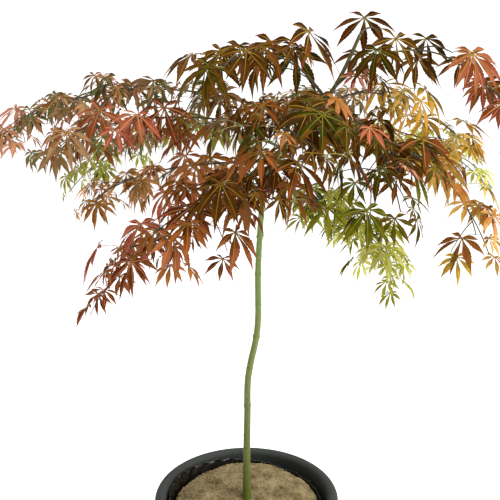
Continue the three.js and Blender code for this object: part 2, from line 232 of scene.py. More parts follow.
def group(name: str, inputs: dict, outputs: dict) -> tuple[bpy.types.NodeTree, Nodes, dict, dict]:
    """Starts a shader node group with named sockets.

    Args:
        name: The group's name.
        inputs: Names and (kind, default) of its inputs.
        outputs: Names and kinds of its outputs.

    Returns:
        The group, its node adder, its input sockets and the sockets that take its results.
    """
    tree = bpy.data.node_groups.new(name, "ShaderNodeTree")
    for key, (kind, default) in inputs.items():
        socket = tree.interface.new_socket(name=key, in_out="INPUT", socket_type=kind)
        socket.default_value = default
    for key, kind in outputs.items():
        tree.interface.new_socket(name=key, in_out="OUTPUT", socket_type=kind)
    source = tree.nodes.new("NodeGroupInput")
    target = tree.nodes.new("NodeGroupOutput")
    return (
        tree,
        Nodes(tree),
        {key: source.outputs[key] for key in inputs},
        {key: target.inputs[key] for key in outputs},
    )


def grit_group() -> bpy.types.NodeTree:
    """Builds the group for fine grit: a mask of specks and a height, at a named scale."""
    tree, nodes, given, wanted = group(
        "grit",
        {"Vector": ("NodeSocketVector", (0, 0, 0)), "Scale": ("NodeSocketFloat", 300.0),
         "Amount": ("NodeSocketFloat", 0.5)},
        {"Specks": "NodeSocketFloat", "Height": "NodeSocketFloat"},
    )
    broad = nodes.noise(given["Vector"], nodes.times(given["Scale"], 0.3), 4.0, 0.6)
    fine = nodes.noise(given["Vector"], given["Scale"], 3.0, 0.7)
    summed = nodes.math("ADD", nodes.times(broad, 0.5), nodes.times(fine, 0.5))
    threshold = nodes.math("SUBTRACT", 0.72, nodes.times(given["Amount"], 0.25))
    sharp = nodes.times(nodes.math("SUBTRACT", summed, threshold), 9.0)
    clamped = nodes.add("ShaderNodeClamp", {0: sharp})
    nodes.link(clamped.outputs[0], wanted["Specks"])
    nodes.link(summed, wanted["Height"])
    return tree


def bark_group() -> bpy.types.NodeTree:
    """Builds the group for young bark: long streaks, pale pores and a height."""
    tree, nodes, given, wanted = group(
        "young_bark",
        {"Vector": ("NodeSocketVector", (0, 0, 0)), "Streak": ("NodeSocketFloat", 900.0),
         "Stretch": ("NodeSocketFloat", 0.06), "Pores": ("NodeSocketFloat", 0.5)},
        {"Streaks": "NodeSocketFloat", "Pores": "NodeSocketFloat", "Height": "NodeSocketFloat"},
    )
    along = nodes.add("ShaderNodeCombineXYZ", {0: 1.0, 1: 1.0, 2: given["Stretch"]})
    drawn = nodes.add("ShaderNodeVectorMath", {0: given["Vector"], 1: along.outputs[0]},
                      operation="MULTIPLY")
    streaks = nodes.noise(drawn.outputs[0], given["Streak"], 3.0, 0.6)
    cells = nodes.add("ShaderNodeTexVoronoi", {
        "Vector": given["Vector"], "Scale": nodes.times(given["Streak"], 0.42),
    })
    pores = nodes.times(nodes.math("LESS_THAN", cells.outputs["Distance"], 0.2), given["Pores"])
    height = nodes.math("ADD", nodes.times(streaks, 0.7), pores)
    nodes.link(streaks, wanted["Streaks"])
    nodes.link(pores, wanted["Pores"])
    nodes.link(height, wanted["Height"])
    return tree


class Effects:
    """The node groups that more than one finish uses, each built once."""

    def __init__(self) -> None:
        """Builds both groups."""
        self.grit = grit_group()
        self.bark = bark_group()


@dataclass(frozen=True)
class PlainFinish:
    """A finish of one plain colour, for leaves, stalks and twigs."""

    name: str
    colour: Colour
    roughness: float = 0.5
    specular: float = 0.32

    def make(self) -> bpy.types.Material:
        """Returns the finish as a material."""
        material, shader, _ = blank(self.name)
        shader.inputs["Base Color"].default_value = linear(self.colour)
        shader.inputs["Roughness"].default_value = self.roughness
        shader.inputs["Specular IOR Level"].default_value = self.specular
        return material


def blank(name: str) -> tuple[bpy.types.Material, bpy.types.Node, Nodes]:
    """Makes a material with only its main shader.

    Args:
        name: The material's name.

    Returns:
        The material, its shader node and an adder for its tree.
    """
    material = bpy.data.materials.new(name)
    material.use_nodes = True
    shader = material.node_tree.nodes["Principled BSDF"]
    return material, shader, Nodes(material.node_tree)


@dataclass(frozen=True)
class BarkFinish:
    """Green young bark that darkens and pales along its height."""

    name: str
    stops: tuple[tuple[float, Colour], ...]
    low: float
    high: float
    smoothest: float = 0.38
    streak: float = 900.0
    streak_colour: Colour = (96, 106, 50)
    streaking: float = 0.55
    pore_colour: Colour = (176, 178, 128)
    poring: float = 0.7
    unevenness: float = 0.2
    bump: float = 0.35
    depth: float = 0.4
    specular: float = 0.4

    def make(self, effects: Effects) -> bpy.types.Material:
        """Returns the finish as a material.

        Args:
            effects: The shared node groups.

        Returns:
            The new material.
        """
        material, shader, nodes = blank(self.name)
        place = nodes.place()
        height = nodes.add("ShaderNodeSeparateXYZ", {0: place}).outputs[2]
        share = nodes.add("ShaderNodeMapRange", {
            "Value": height, "From Min": self.low * MM, "From Max": self.high * MM,
        })
        tone = nodes.ramp(share.outputs[0], self.stops)
        bark = nodes.add("ShaderNodeGroup", {"Vector": place, "Streak": self.streak},
                         node_tree=effects.bark).outputs
        streaks = bark["Streaks"]
        tone = nodes.blend(nodes.times(streaks, self.streaking), tone, self.streak_colour)
        tone = nodes.blend(nodes.times(bark["Pores"], self.poring), tone, self.pore_colour)
        rough = nodes.math("ADD", nodes.times(streaks, self.unevenness), self.smoothest)
        nodes.dress(shader, tone, rough, bark["Height"], self.bump, self.depth)
        shader.inputs["Specular IOR Level"].default_value = self.specular
        return material


@dataclass(frozen=True)
class MouldedFinish:
    """Moulded plastic: satin or glossy, with a fine grain and a little dust."""

    name: str
    colour: Colour
    dust: Colour
    smoothest: float
    grain: float
    dusting: float
    smudge: float = 22.0
    unevenness: float = 0.22
    bump: float = 0.22
    depth: float = 0.3
    coat: float = 0.0
    specular: float = 0.5

    def make(self, effects: Effects) -> bpy.types.Material:
        """Returns the finish as a material.

        Args:
            effects: The shared node groups.

        Returns:
            The new material.
        """
        material, shader, nodes = blank(self.name)
        place = nodes.place()
        grit = nodes.add("ShaderNodeGroup", {
            "Vector": place, "Scale": self.grain, "Amount": self.dusting,
        }, node_tree=effects.grit).outputs
        dusty = nodes.times(grit["Specks"], self.dusting)
        tone = nodes.blend(dusty, linear(self.colour), self.dust)
        smudge = nodes.noise(place, self.smudge, 3.0)
        rough = nodes.math("ADD", nodes.times(smudge, self.unevenness), self.smoothest)
        nodes.dress(shader, tone, rough, grit["Height"], self.bump, self.depth)
        shader.inputs["Coat Weight"].default_value = self.coat
        shader.inputs["Specular IOR Level"].default_value = self.specular
        return material


@dataclass(frozen=True)
class SoilFinish:
    """Pale brown potting mix with dark and light grains."""

    name: str
    pale: Colour
    middle: Colour
    dark: Colour
    grain: float = 420.0
    graining: float = 0.55
    specking: float = 0.75
    patch: float = 60.0
    edges: tuple[float, float, float] = (0.36, 0.48, 0.64)
    smoothest: float = 0.85
    unevenness: float = 0.1
    bump: float = 0.8
    depth: float = 1.2
    specular: float = 0.15

    def make(self, effects: Effects) -> bpy.types.Material:
        """Returns the finish as a material.

        Args:
            effects: The shared node groups.

        Returns:
            The new material.
        """
        material, shader, nodes = blank(self.name)
        place = nodes.place()
        grit = nodes.add("ShaderNodeGroup", {
            "Vector": place, "Scale": self.grain, "Amount": self.graining,
        }, node_tree=effects.grit).outputs
        broad = nodes.noise(place, self.patch, 8.0, 0.75)
        tone = nodes.ramp(broad, list(zip(self.edges, (self.dark, self.middle, self.pale))))
        tone = nodes.blend(nodes.times(grit["Specks"], self.specking), tone, self.dark)
        rough = nodes.math("ADD", nodes.times(broad, self.unevenness), self.smoothest)
        nodes.dress(shader, tone, rough, grit["Height"], self.bump, self.depth)
        shader.inputs["Specular IOR Level"].default_value = self.specular
        return material


# ---------------------------------------------------------------- meshes
def show(thing: bpy.types.Object) -> bpy.types.Object:
    """Puts an object into the scene and returns it."""
    bpy.context.scene.collection.objects.link(thing)
    return thing


def solid_piece(name: str, points: np.ndarray, faces: list[Sequence[int]],
                *materials: bpy.types.Material, slots: Sequence[int] = ()) -> bpy.types.Object:
    """Makes a smooth object.

    Args:
        name: Its name.
        points: Its points, in millimetres.
        faces: Its faces, as rows of point numbers.
        materials: Its materials.
        slots: The material slot of each face, if there is more than one.

    Returns:
        The new object, at the origin.
    """
    mesh = bpy.data.meshes.new(name)
    mesh.from_pydata((np.asarray(points) * MM).tolist(), [], faces)
    if slots:
        mesh.polygons.foreach_set("material_index", slots)
    mesh.polygons.foreach_set("use_smooth", [True] * len(faces))
    for material in materials:
        mesh.materials.append(material)
    mesh.update()
    return show(bpy.data.objects.new(name, mesh))


def worked_out(thing: bpy.types.Object) -> bpy.types.Mesh:
    """Returns an object's mesh with its modifiers applied."""
    bpy.context.view_layer.update()
    graph = bpy.context.evaluated_depsgraph_get()
    return bpy.data.meshes.new_from_object(thing.evaluated_get(graph))


def turns(around: int) -> np.ndarray:
    """Returns the angles of equal steps round a circle."""
    return np.arange(around) * 2 * math.pi / around


def ring(turn: np.ndarray, radius: float | np.ndarray, height: float | np.ndarray) -> np.ndarray:
    """Returns a ring of points round the upright axis.

    Args:
        turn: The angle of each point.
        radius: The radius, of all or of each.
        height: The height, of all or of each.

    Returns:
        Rows of x, y and z.
    """
    radius = np.broadcast_to(radius, turn.shape)
    height = np.broadcast_to(height, turn.shape)
    return np.stack([radius * np.cos(turn), radius * np.sin(turn), height], -1)


def ring_faces(rings: int, around: int) -> list[list[int]]:
    """Returns the faces between rings of points, with their outsides out.

    Args:
        rings: How many rings there are.
        around: How many points a ring has.

    Returns:
        Rows of four point numbers.
    """
    row, step = np.meshgrid(np.arange(rings - 1), np.arange(around), indexing="ij")
    a = row * around + step
    b = row * around + (step + 1) % around
    return np.stack([a, b, b + around, a + around], -1).reshape(-1, 4).tolist()


def closed_skin(rings: Sequence[np.ndarray], first: Sequence[float],
                last: Sequence[float]) -> tuple[np.ndarray, list[list[int]]]:
    """Joins rings of points into a skin, with a fan at either end.

    Args:
        rings: The rings, all with as many points.
        first: The middle of the first fan.
        last: The middle of the last fan.

    Returns:
        The points and the faces.
    """
    around = len(rings[0])
    points = np.vstack([*rings, first, last])
    faces = ring_faces(len(rings), around)
    bottom, top, upper = len(points) - 2, len(points) - 1, (len(rings) - 1) * around
    for k in range(around):
        after = (k + 1) % around
        faces += [[bottom, after, k], [top, upper + k, upper + after]]
    return points, faces


def arc(radius: float, height: float, size: float, start: float, end: float, steps: int) -> list:
    """Returns points on an arc of an outline, from one angle in degrees to another."""
    angles = [math.radians(mix(start, end, share)) for share in shares(steps)]
    return [(radius + size * math.cos(a), height + size * math.sin(a)) for a in angles]


# ---------------------------------------------------------------- geometry node trees
class TreeMaker:
    """Starts geometry node trees with named inputs, and runs them on objects."""

    def __init__(self, name: str, inputs: dict[str, tuple[str, object]]) -> None:
        """Starts a tree.

        Args:
            name: The tree's name.
            inputs: Names and (kind, default) of its inputs after the geometry.
        """
        self.tree = bpy.data.node_groups.new(name, "GeometryNodeTree")
        face = self.tree.interface
        face.new_socket(name="Geometry", in_out="INPUT", socket_type="NodeSocketGeometry")
        self.keys = {}
        for key, (kind, default) in inputs.items():
            socket = face.new_socket(name=key, in_out="INPUT", socket_type=kind)
            if default is not None:
                socket.default_value = default
            self.keys[key] = socket.identifier
        face.new_socket(name="Geometry", in_out="OUTPUT", socket_type="NodeSocketGeometry")
        self.nodes = Nodes(self.tree)
        self.given = self.tree.nodes.new("NodeGroupInput").outputs
        self.result = self.tree.nodes.new("NodeGroupOutput").inputs[0]

    def end(self, geometry: bpy.types.NodeSocket) -> None:
        """Closes the tree: its instances are made real and it gets the named material.

        Args:
            geometry: What the tree has made.
        """
        real = self.nodes.add("GeometryNodeRealizeInstances", {0: geometry})
        smooth = self.nodes.add("GeometryNodeSetShadeSmooth", {0: real.outputs[0]})
        dressed = self.nodes.add("GeometryNodeSetMaterial", {
            "Geometry": smooth.outputs[0], "Material": self.given["Material"],
        })
        self.nodes.link(dressed.outputs[0], self.result)

    def run(self, thing: bpy.types.Object, name: str, values: dict) -> bpy.types.Object:
        """Runs the tree on an object and keeps the result as a plain mesh.

        Args:
            thing: The object to run on. It is removed.
            name: The name of the result.
            values: What the tree's inputs get, by name.

        Returns:
            The new object, at the origin.
        """
        modifier = thing.modifiers.new("tree", "NODES")
        modifier.node_group = self.tree
        for key, value in values.items():
            modifier[self.keys[key]] = value
        if thing.name not in bpy.context.scene.collection.objects:
            bpy.context.scene.collection.objects.link(thing)
        mesh = worked_out(thing)
        mesh.name = name
        thing.modifiers.remove(modifier)
        bpy.data.objects.remove(thing)
        return show(bpy.data.objects.new(name, mesh))


def tube_tree() -> TreeMaker:
    """Builds the tree that makes a round limb along each chain of points."""
    maker = TreeMaker("limbs_from_lines", {
        "Sides": ("NodeSocketInt", 6), "Material": ("NodeSocketMaterial", None),
    })
    nodes = maker.nodes
    line = nodes.add("GeometryNodeMeshToCurve", {"Mesh": maker.given["Geometry"]})
    thick = nodes.add("GeometryNodeInputNamedAttribute", {"Name": "thickness"})
    circle = nodes.add("GeometryNodeCurvePrimitiveCircle", {
        "Resolution": maker.given["Sides"], "Radius": 1.0,
    })
    limb = nodes.add("GeometryNodeCurveToMesh", {
        "Curve": line.outputs[0], "Profile Curve": circle.outputs[0],
        "Scale": thick.outputs[0], "Fill Caps": True,
    })
    maker.end(limb.outputs[0])
    return maker


def scatter_tree() -> TreeMaker:
    """Builds the tree that strews small uneven grains over a surface."""
    maker = TreeMaker("strewn_grains", {
        "Density": ("NodeSocketFloat", 1.0), "Smallest": ("NodeSocketFloat", 0.0004),
        "Largest": ("NodeSocketFloat", 0.001), "Seed": ("NodeSocketInt", 1),
        "Material": ("NodeSocketMaterial", None),
    })
    nodes = maker.nodes
    spots = nodes.add("GeometryNodeDistributePointsOnFaces", {
        "Mesh": maker.given["Geometry"], "Density": maker.given["Density"],
        "Seed": maker.given["Seed"],
    })
    grain = nodes.add("GeometryNodeMeshIcoSphere", {"Radius": 1.0, "Subdivisions": 1})
    shape = nodes.add("FunctionNodeRandomValue", {
        "Min": (0.7, 0.7, 0.5), "Max": (1.35, 1.3, 1.0), "Seed": 7,
    }, data_type="FLOAT_VECTOR")
    chance = nodes.add("FunctionNodeRandomValue", {"Seed": 11}, data_type="FLOAT")
    bias = nodes.math("POWER", chance.outputs[1], 2.2)
    spread = nodes.math("SUBTRACT", maker.given["Largest"], maker.given["Smallest"])
    radius = nodes.math("ADD", maker.given["Smallest"], nodes.times(bias, spread))
    scaled = nodes.add("ShaderNodeVectorMath", {0: shape.outputs[0], "Scale": radius},
                       operation="SCALE")
    turn = nodes.add("FunctionNodeRandomValue", {
        "Min": (0.0, 0.0, 0.0), "Max": (6.28, 6.28, 6.28), "Seed": 3,
    }, data_type="FLOAT_VECTOR")
    placed = nodes.add("GeometryNodeInstanceOnPoints", {
        "Points": spots.outputs[0], "Instance": grain.outputs[0], "Rotation": turn.outputs[0],
        "Scale": scaled.outputs[0],
    })
    maker.end(placed.outputs[0])
    return maker


# ---------------------------------------------------------------- the growth rule
@dataclass(frozen=True)
class StemLine:
    """The stem's middle line, a smooth curve through its bends, and its thickness."""

    bends: tuple[tuple[float, float, float], ...] = (
        (0.5, 0, 169.8), (0.3, 0, 225), (1, 0, 264), (1.5, 0, 302), (4.4, 0, 323),
        (9.6, 0, 348), (12, 0, 370), (12, 0, 420), (13.4, 0, 455), (16, 0, 489),
        (23, -3, 522), (42, -9, 556), (75, -18, 594), (88, -20, 615), (105, -22, 653),
    )
    foot_radius: float = 5.2
    radius: float = 3.7
    tip_radius: float = 1.6
    flare: float = 26.0

    @property
    def foot(self) -> float:
        """Returns the height of the stem's foot."""
        return self.bends[0][2]

    @property
    def top(self) -> float:
        """Returns the height of the stem's tip."""
        return self.bends[-1][2]

    def point(self, share: float) -> np.ndarray:
        """Returns the point at a share of the curve, by the centripetal rule.

        Args:
            share: From 0 at the foot to 1 at the tip.

        Returns:
            The point.
        """
        bends = [np.array(b, float) for b in self.bends]
        place = (len(bends) - 1) * share
        index = min(int(place), len(bends) - 2)
        weight = place - index
        second, third = bends[index], bends[index + 1]
        first = bends[index - 1] if index else 2 * bends[0] - bends[1]
        last = index + 2 < len(bends)
        fourth = bends[index + 2] if last else 2 * bends[-1] - bends[-2]
        d0, d1, d2 = (
            max(float(np.sum((a - b) ** 2)) ** 0.25, 1e-4)
            for a, b in ((first, second), (second, third), (third, fourth))
        )
        start = ((second - first) / d0 - (third - first) / (d0 + d1) + (third - second) / d1) * d1
        end = ((third - second) / d1 - (fourth - second) / (d1 + d2) + (fourth - third) / d2) * d1
        return (
            second + start * weight
            + (-3 * second + 3 * third - 2 * start - end) * weight ** 2
            + (2 * second - 2 * third + start + end) * weight ** 3
        )

    def at_height(self, z: float) -> np.ndarray:
        """Returns the curve's point at a height, found by halving."""
        low, high = 0.0, 1.0
        for _ in range(30):
            middle = (low + high) / 2
            if self.point(middle)[2] < z:
                low = middle
            else:
                high = middle
        return self.point(low)

    def radius_at(self, z: float) -> float:
        """Returns the stem's radius at a height."""
        up = (z - self.foot) / (self.top - self.foot)
        flare = (self.foot_radius - self.radius) * math.exp(-(z - self.foot) / self.flare)
        return mix(self.radius, self.tip_radius, up * up) + flare


class Tint(Enum):
    """The leaf colours, each in the name of one of the model's finishes."""

    BRONZE = "leaf_bronze"
    RUSSET = "leaf_russet"
    CORAL = "leaf_coral"
    AMBER = "leaf_amber"
    OLIVE = "leaf_olive"
    LIME = "leaf_lime"


@dataclass(frozen=True)
class Limb:
    """One limb: a bough and the spray that it carries."""

    name: str
    start: float
    heading: float
    reach: float
    lift: float
    tip: float
    sweep: float
    bare: float
    tint: Tint
    tones: tuple[str, str, str, str]
    internode: float
    leaf_size: float
    fullness: float
    nodes: int = 0

    def point(self, root: np.ndarray, t: float) -> np.ndarray:
        """Returns the limb's point at a share of its length.

        Args:
            root: Where it leaves the stem.
            t: The share.

        Returns:
            The point.
        """
        heading = math.radians(self.heading + self.sweep * t)
        s = 1 - t
        out = self.reach * (3 * s * s * t * 0.3 + 3 * s * t * t * 0.75 + t ** 3)
        rise = self.lift * (3 * s * s * t + 3 * s * t * t) + self.tip * t ** 3
        return root + xyz(out * math.cos(heading), out * math.sin(heading), rise)


# The pale haze, blush, sage and lime tones of the back and left sprays are partly the leaves' own
# colour and partly painted light shining through them from behind.
LIMBS = (
    Limb("high_right", 606, 353, 165, 50, -50, 0, 0, Tint.BRONZE,
         ("umber", "umber", "brick", "coral"), 34, 0.92, 0.08),
    Limb("high_left", 594, 207, 137, 56, -10, -6, 0, Tint.BRONZE,
         ("umber", "umber", "bronze", "moss"), 30, 1.0, 0.1),
    Limb("front", 583, 247, 159, 10, -56, 5, 0.15, Tint.BRONZE,
         ("umber", "bronze", "umber", "rust"), 27, 1.04, 0.8),
    Limb("right_mid", 583, 34, 152, 28, -34, -10, 0.15, Tint.AMBER,
         ("amber", "amber", "amber", "amber"), 27, 0.92, 0.3),
    Limb("upper_left", 571, 160, 316, 46, -10, 7, 0.16, Tint.RUSSET,
         ("haze", "haze", "blush", "sage"), 27, 0.8, 0.6),
    Limb("front_right", 571, 300, 150, 22, -62, -3, 0.2, Tint.CORAL,
         ("umber", "umber", "moss", "coral"), 27, 0.98, 0.55),
    Limb("left", 559, 193, 236, 28, -14, -11, 0.16, Tint.RUSSET,
         ("brick", "coral", "haze", "rust"), 27, 0.98, 0.45),
    Limb("right_low", 559, 333, 188, 14, -98, 3, 0.13, Tint.BRONZE,
         ("umber", "amber", "flame", "umber"), 27, 0.92, 0.2),
    Limb("left_back", 547, 132, 290, 32, -62, 17, 0.15, Tint.OLIVE,
         ("haze", "sage", "lime", "lime"), 27, 0.72, 0.25),
    Limb("right_back", 547, 51, 310, 28, -56, -17, 0.14, Tint.LIME,
         ("olive", "lime", "lime", "lime"), 27, 0.66, 0.12),
    Limb("left_low", 535, 177, 195, -1, -50, -1, 0.2, Tint.RUSSET,
         ("russet", "tan", "tan", "tan"), 27, 0.75, 0.25),
    Limb("back", 535, 66, 214, 76, 34, -2, 0.18, Tint.OLIVE,
         ("sage", "haze", "haze", "sage"), 27, 0.7, 0.6),
    Limb("front_left", 523, 260, 187, 8, -82, -38, 0.15, Tint.RUSSET,
         ("umber", "rust", "brick", "brick"), 27, 0.95, 0.4),
    Limb("right_drop", 523, 17, 134, -34, -112, -2, 0.18, Tint.OLIVE,
         ("olive", "lime", "lime", "olive"), 22, 0.8, 0.5),
    Limb("top", 653, 20, 20, 8, 2, 0, 0, Tint.BRONZE,
         ("umber", "umber", "umber", "umber"), 27, 1.0, 0.0, 2),
)


@dataclass(frozen=True)
class SprayRule:
    """The sizes by which every spray grows. A pair is a base and what chance adds at most."""

    seed_step: int = 977
    first_draws: int = 5
    slack: float = 0.1
    seat_step: float = 0.0005
    line_steps: int = 48
    fewest_nodes: int = 3
    setback: Pair = (0.25, 0.3)
    look: float = 0.01
    twig_aside: Pair = (0.72, 0.2)
    twig_along: float = 0.62
    twig_rise: Pair = (0.1, 0.25)
    twig_length: float = 62.0
    twig_fading: float = 0.45
    twig_size: Pair = (0.85, 0.3)
    twig_droop: float = 0.35
    pair_at: float = 0.55
    young_from: float = 0.93
    inner_size: float = 1.08
    outer_size: float = 0.68
    young_size: float = 0.5
    leaf_size: Pair = (0.88, 0.24)
    fading: Pair = (0.6, 0.4)
    petiole: float = 24.0
    petiole_size: Pair = (0.85, 0.4)
    petiole_aside: Pair = (0.7, 0.25)
    petiole_along: float = 0.55
    petiole_rise: Pair = (0.15, 0.45)
    droop: float = 60.0
    young_droop: float = 76.0
    droop_spread: float = 30.0
    roll_spread: float = 36.0
    giving_way: tuple[tuple[float, float, float], ...] = (
        (1, 0, 0), (1, -22, 0), (1, 16, 0), (0.86, 0, 24), (0.86, 0, -24), (0.72, -12, 0),
        (0.72, 14, 30),
    )


@dataclass(frozen=True)
class LeafRule:
    """The outline that the model's leaves have, which the finer leaves keep to."""

    length: float = 46.0
    curl: float = 0.2
    bearing: tuple[float, ...] = (0, 37, 78)
    lobes: tuple[float, ...] = (1, 0.94, 0.74)
    bays: tuple[float, ...] = (0.32, 0.28)
    heel: float = 0.05
    heel_bearing: float = 152.0

    def rim(self) -> list[tuple[float, float]]:
        """Returns bearings and reaches of the rim, from heel to heel."""
        half = [(math.radians(self.heel_bearing), self.heel)]
        for lobe in (2, 1):
            bay = (self.bearing[lobe] + self.bearing[lobe - 1]) / 2
            half.append((math.radians(self.bearing[lobe]), self.lobes[lobe]))
            half.append((math.radians(bay), self.bays[lobe - 1]))
        return [(-b, r) for b, r in half] + [(0.0, 1.0)] + half[::-1]


@dataclass(frozen=True)
class Room:
    """How far leaves keep from what is near them, in the model's rule and for finer leaves."""

    limbs: float = 8.0
    own_leaves: float = 6.0
    other_leaves: float = 9.0
    other_wood: float = 7.0
    twigs: float = 9.0
    nearer_own: float = 4.0


@dataclass(frozen=True)
class FineRule:
    """The finer growth that fills a spray between its larger leaves. A pair is a range."""

    seed_step: int = 6151
    line_steps: int = 60
    twig_steps: int = 12
    step: float = 8.0
    step_size: Pair = (0.7, 1.3)
    thinning: float = 0.8
    twig: Pair = (9.0, 36.0)
    aside: Pair = (0.45, 1.0)
    ahead: Pair = (0.2, 1.0)
    rise: Pair = (-0.45, 0.6)
    droop: float = 0.3
    pair_at: float = 0.72
    paired_from: float = 20.0
    leaf: Pair = (21.0, 31.0)
    tip_leaf: float = 0.62
    stalk: Pair = (0.22, 0.5)
    hang: Pair = (-30, 6)
    young_share: float = 0.12
    young_more: float = 0.25
    fading: Pair = (0.75, 0.25)
    young_fading: float = 0.2
    cell: float = 6.0
    crossings: int = 2
    tries: int = 6
    margin: float = 1.5
    limb_room: float = 4.5


@dataclass(eq=False)
class Twig:
    """A side twig: where it starts, its way and how it hangs."""

    LOOK_BACK: ClassVar[float] = 0.1

    root: np.ndarray
    way: np.ndarray
    length: float
    fade: float
    droop: float
    in_leaf: bool = False

    def at(self, share: float) -> np.ndarray:
        """Returns the twig's point at a share of its length."""
        reach = self.root + self.way * (self.length * share)
        return reach - UP * (self.droop * self.length * share * share)

    def way_at(self, share: float) -> np.ndarray:
        """Returns which way the twig runs at a share of its length."""
        return unit(self.at(share) - self.at(share - self.LOOK_BACK))

    def points(self, pair_at: float) -> list[np.ndarray]:
        """Returns its root, the place of its pair of leaves and its tip."""
        return [self.at(0), self.at(pair_at), self.at(1)]

    @staticmethod
    def places(pair_at: float) -> tuple[tuple[float, int], ...]:
        """Returns the share and the hand of its leaves: a pair on the way and three at the tip."""
        return (pair_at, -1), (pair_at, 1), (1, -1), (1, 1), (1, 0)


@dataclass(eq=False)
class Bud:
    """Where a leaf is set, which way its stalk goes and how its blade would hang."""

    root: np.ndarray
    way: np.ndarray
    stalk: float
    droop: float
    roll: float
    length: float
    fade: float
    twig: Twig | None = None


@dataclass(eq=False)
class Leaf:
    """A leaf in place: its stalk's two ends, the blade's three directions and its size."""

    root: np.ndarray
    base: np.ndarray
    ahead: np.ndarray
    across: np.ndarray
    face: np.ndarray
    length: float
    fade: float = 0.5
    samples: np.ndarray | None = None
    young: bool = False
    small: bool = False

    def shrink(self, share: float) -> None:
        """Makes the leaf smaller, with its stalk's root kept where it is."""
        self.base = self.root + (self.base - self.root) * share
        self.length *= share

    def spread(self, rim: np.ndarray, curl: float) -> np.ndarray:
        """Returns points of the blade.

        Args:
            rim: Rows of bearing and reach.
            curl: How far the blade falls off towards its tips.

        Returns:
            One point for each row.
        """
        r = (self.length * rim[:, 1])[:, None]
        b = rim[:, :1]
        fall = self.face * (curl * self.length * rim[:, 1:] ** 2)
        return self.base + self.ahead * r * np.cos(b) + self.across * r * np.sin(b) - fall


def sides_of(along: np.ndarray) -> tuple[np.ndarray, np.ndarray]:
    """Returns two directions at right angles to a twig: level to its side, and the upper one."""
    side = unit(np.cross(along, UP))
    return side, unit(np.cross(side, along))


@dataclass(eq=False)
class Spray:
    """One spray: its stem, side twigs, buds and, later, leaves."""

    limb: Limb
    root: np.ndarray
    begin: float
    stem: list[np.ndarray] = field(default_factory=list)
    twigs: list[Twig] = field(default_factory=list)
    buds: list[Bud] = field(default_factory=list)
    kept: list[Twig] = field(default_factory=list)
    fine: list[Twig] = field(default_factory=list)
    leaves: list[Leaf] = field(default_factory=list)

    def line(self, steps: int) -> list[np.ndarray]:
        """Returns points along its stem, in so many steps."""
        return [self.limb.point(self.root, mix(self.begin, 1, share)) for share in shares(steps)]

    def wood(self, twigs: Sequence[Twig], pair_at: float) -> np.ndarray:
        """Returns points along its stem and some of its twigs.

        Args:
            twigs: The twigs that count.
            pair_at: The share of a twig where its leaves stand.

        Returns:
            An array of points.
        """
        lines = [self.stem] + [twig.points(pair_at) for twig in twigs]
        found = [
            mix(line[i], line[i + 1], share)
            for line in lines for i in range(len(line) - 1)
            for share in (0, 0.2, 0.4, 0.6, 0.8, 1)
        ]
        return np.array(found)


@dataclass(eq=False)
class Filling:
    """The finer growth of one spray: its two corners, the cells in use and its numbers."""

    spray: Spray
    low: np.ndarray
    high: np.ndarray
    taken: set[tuple[int, int, int]]
    draw: Draw


def finder(points: np.ndarray) -> kdtree.KDTree:
    """Returns a tree that finds the nearest of some points."""
    tree = kdtree.KDTree(len(points))
    for index, point in enumerate(points):
        tree.insert(Vector(point), index)
    tree.balance()
    return tree


def nearest(tree: kdtree.KDTree, point: np.ndarray) -> float:
    """Returns the distance from a point to the nearest in a tree."""
    return tree.find(Vector(point))[2]


def is_clear(points: np.ndarray, tree: kdtree.KDTree, room: float) -> bool:
    """Returns whether all points keep further than some room from a tree's points."""
    return all(nearest(tree, point) > room for point in points)


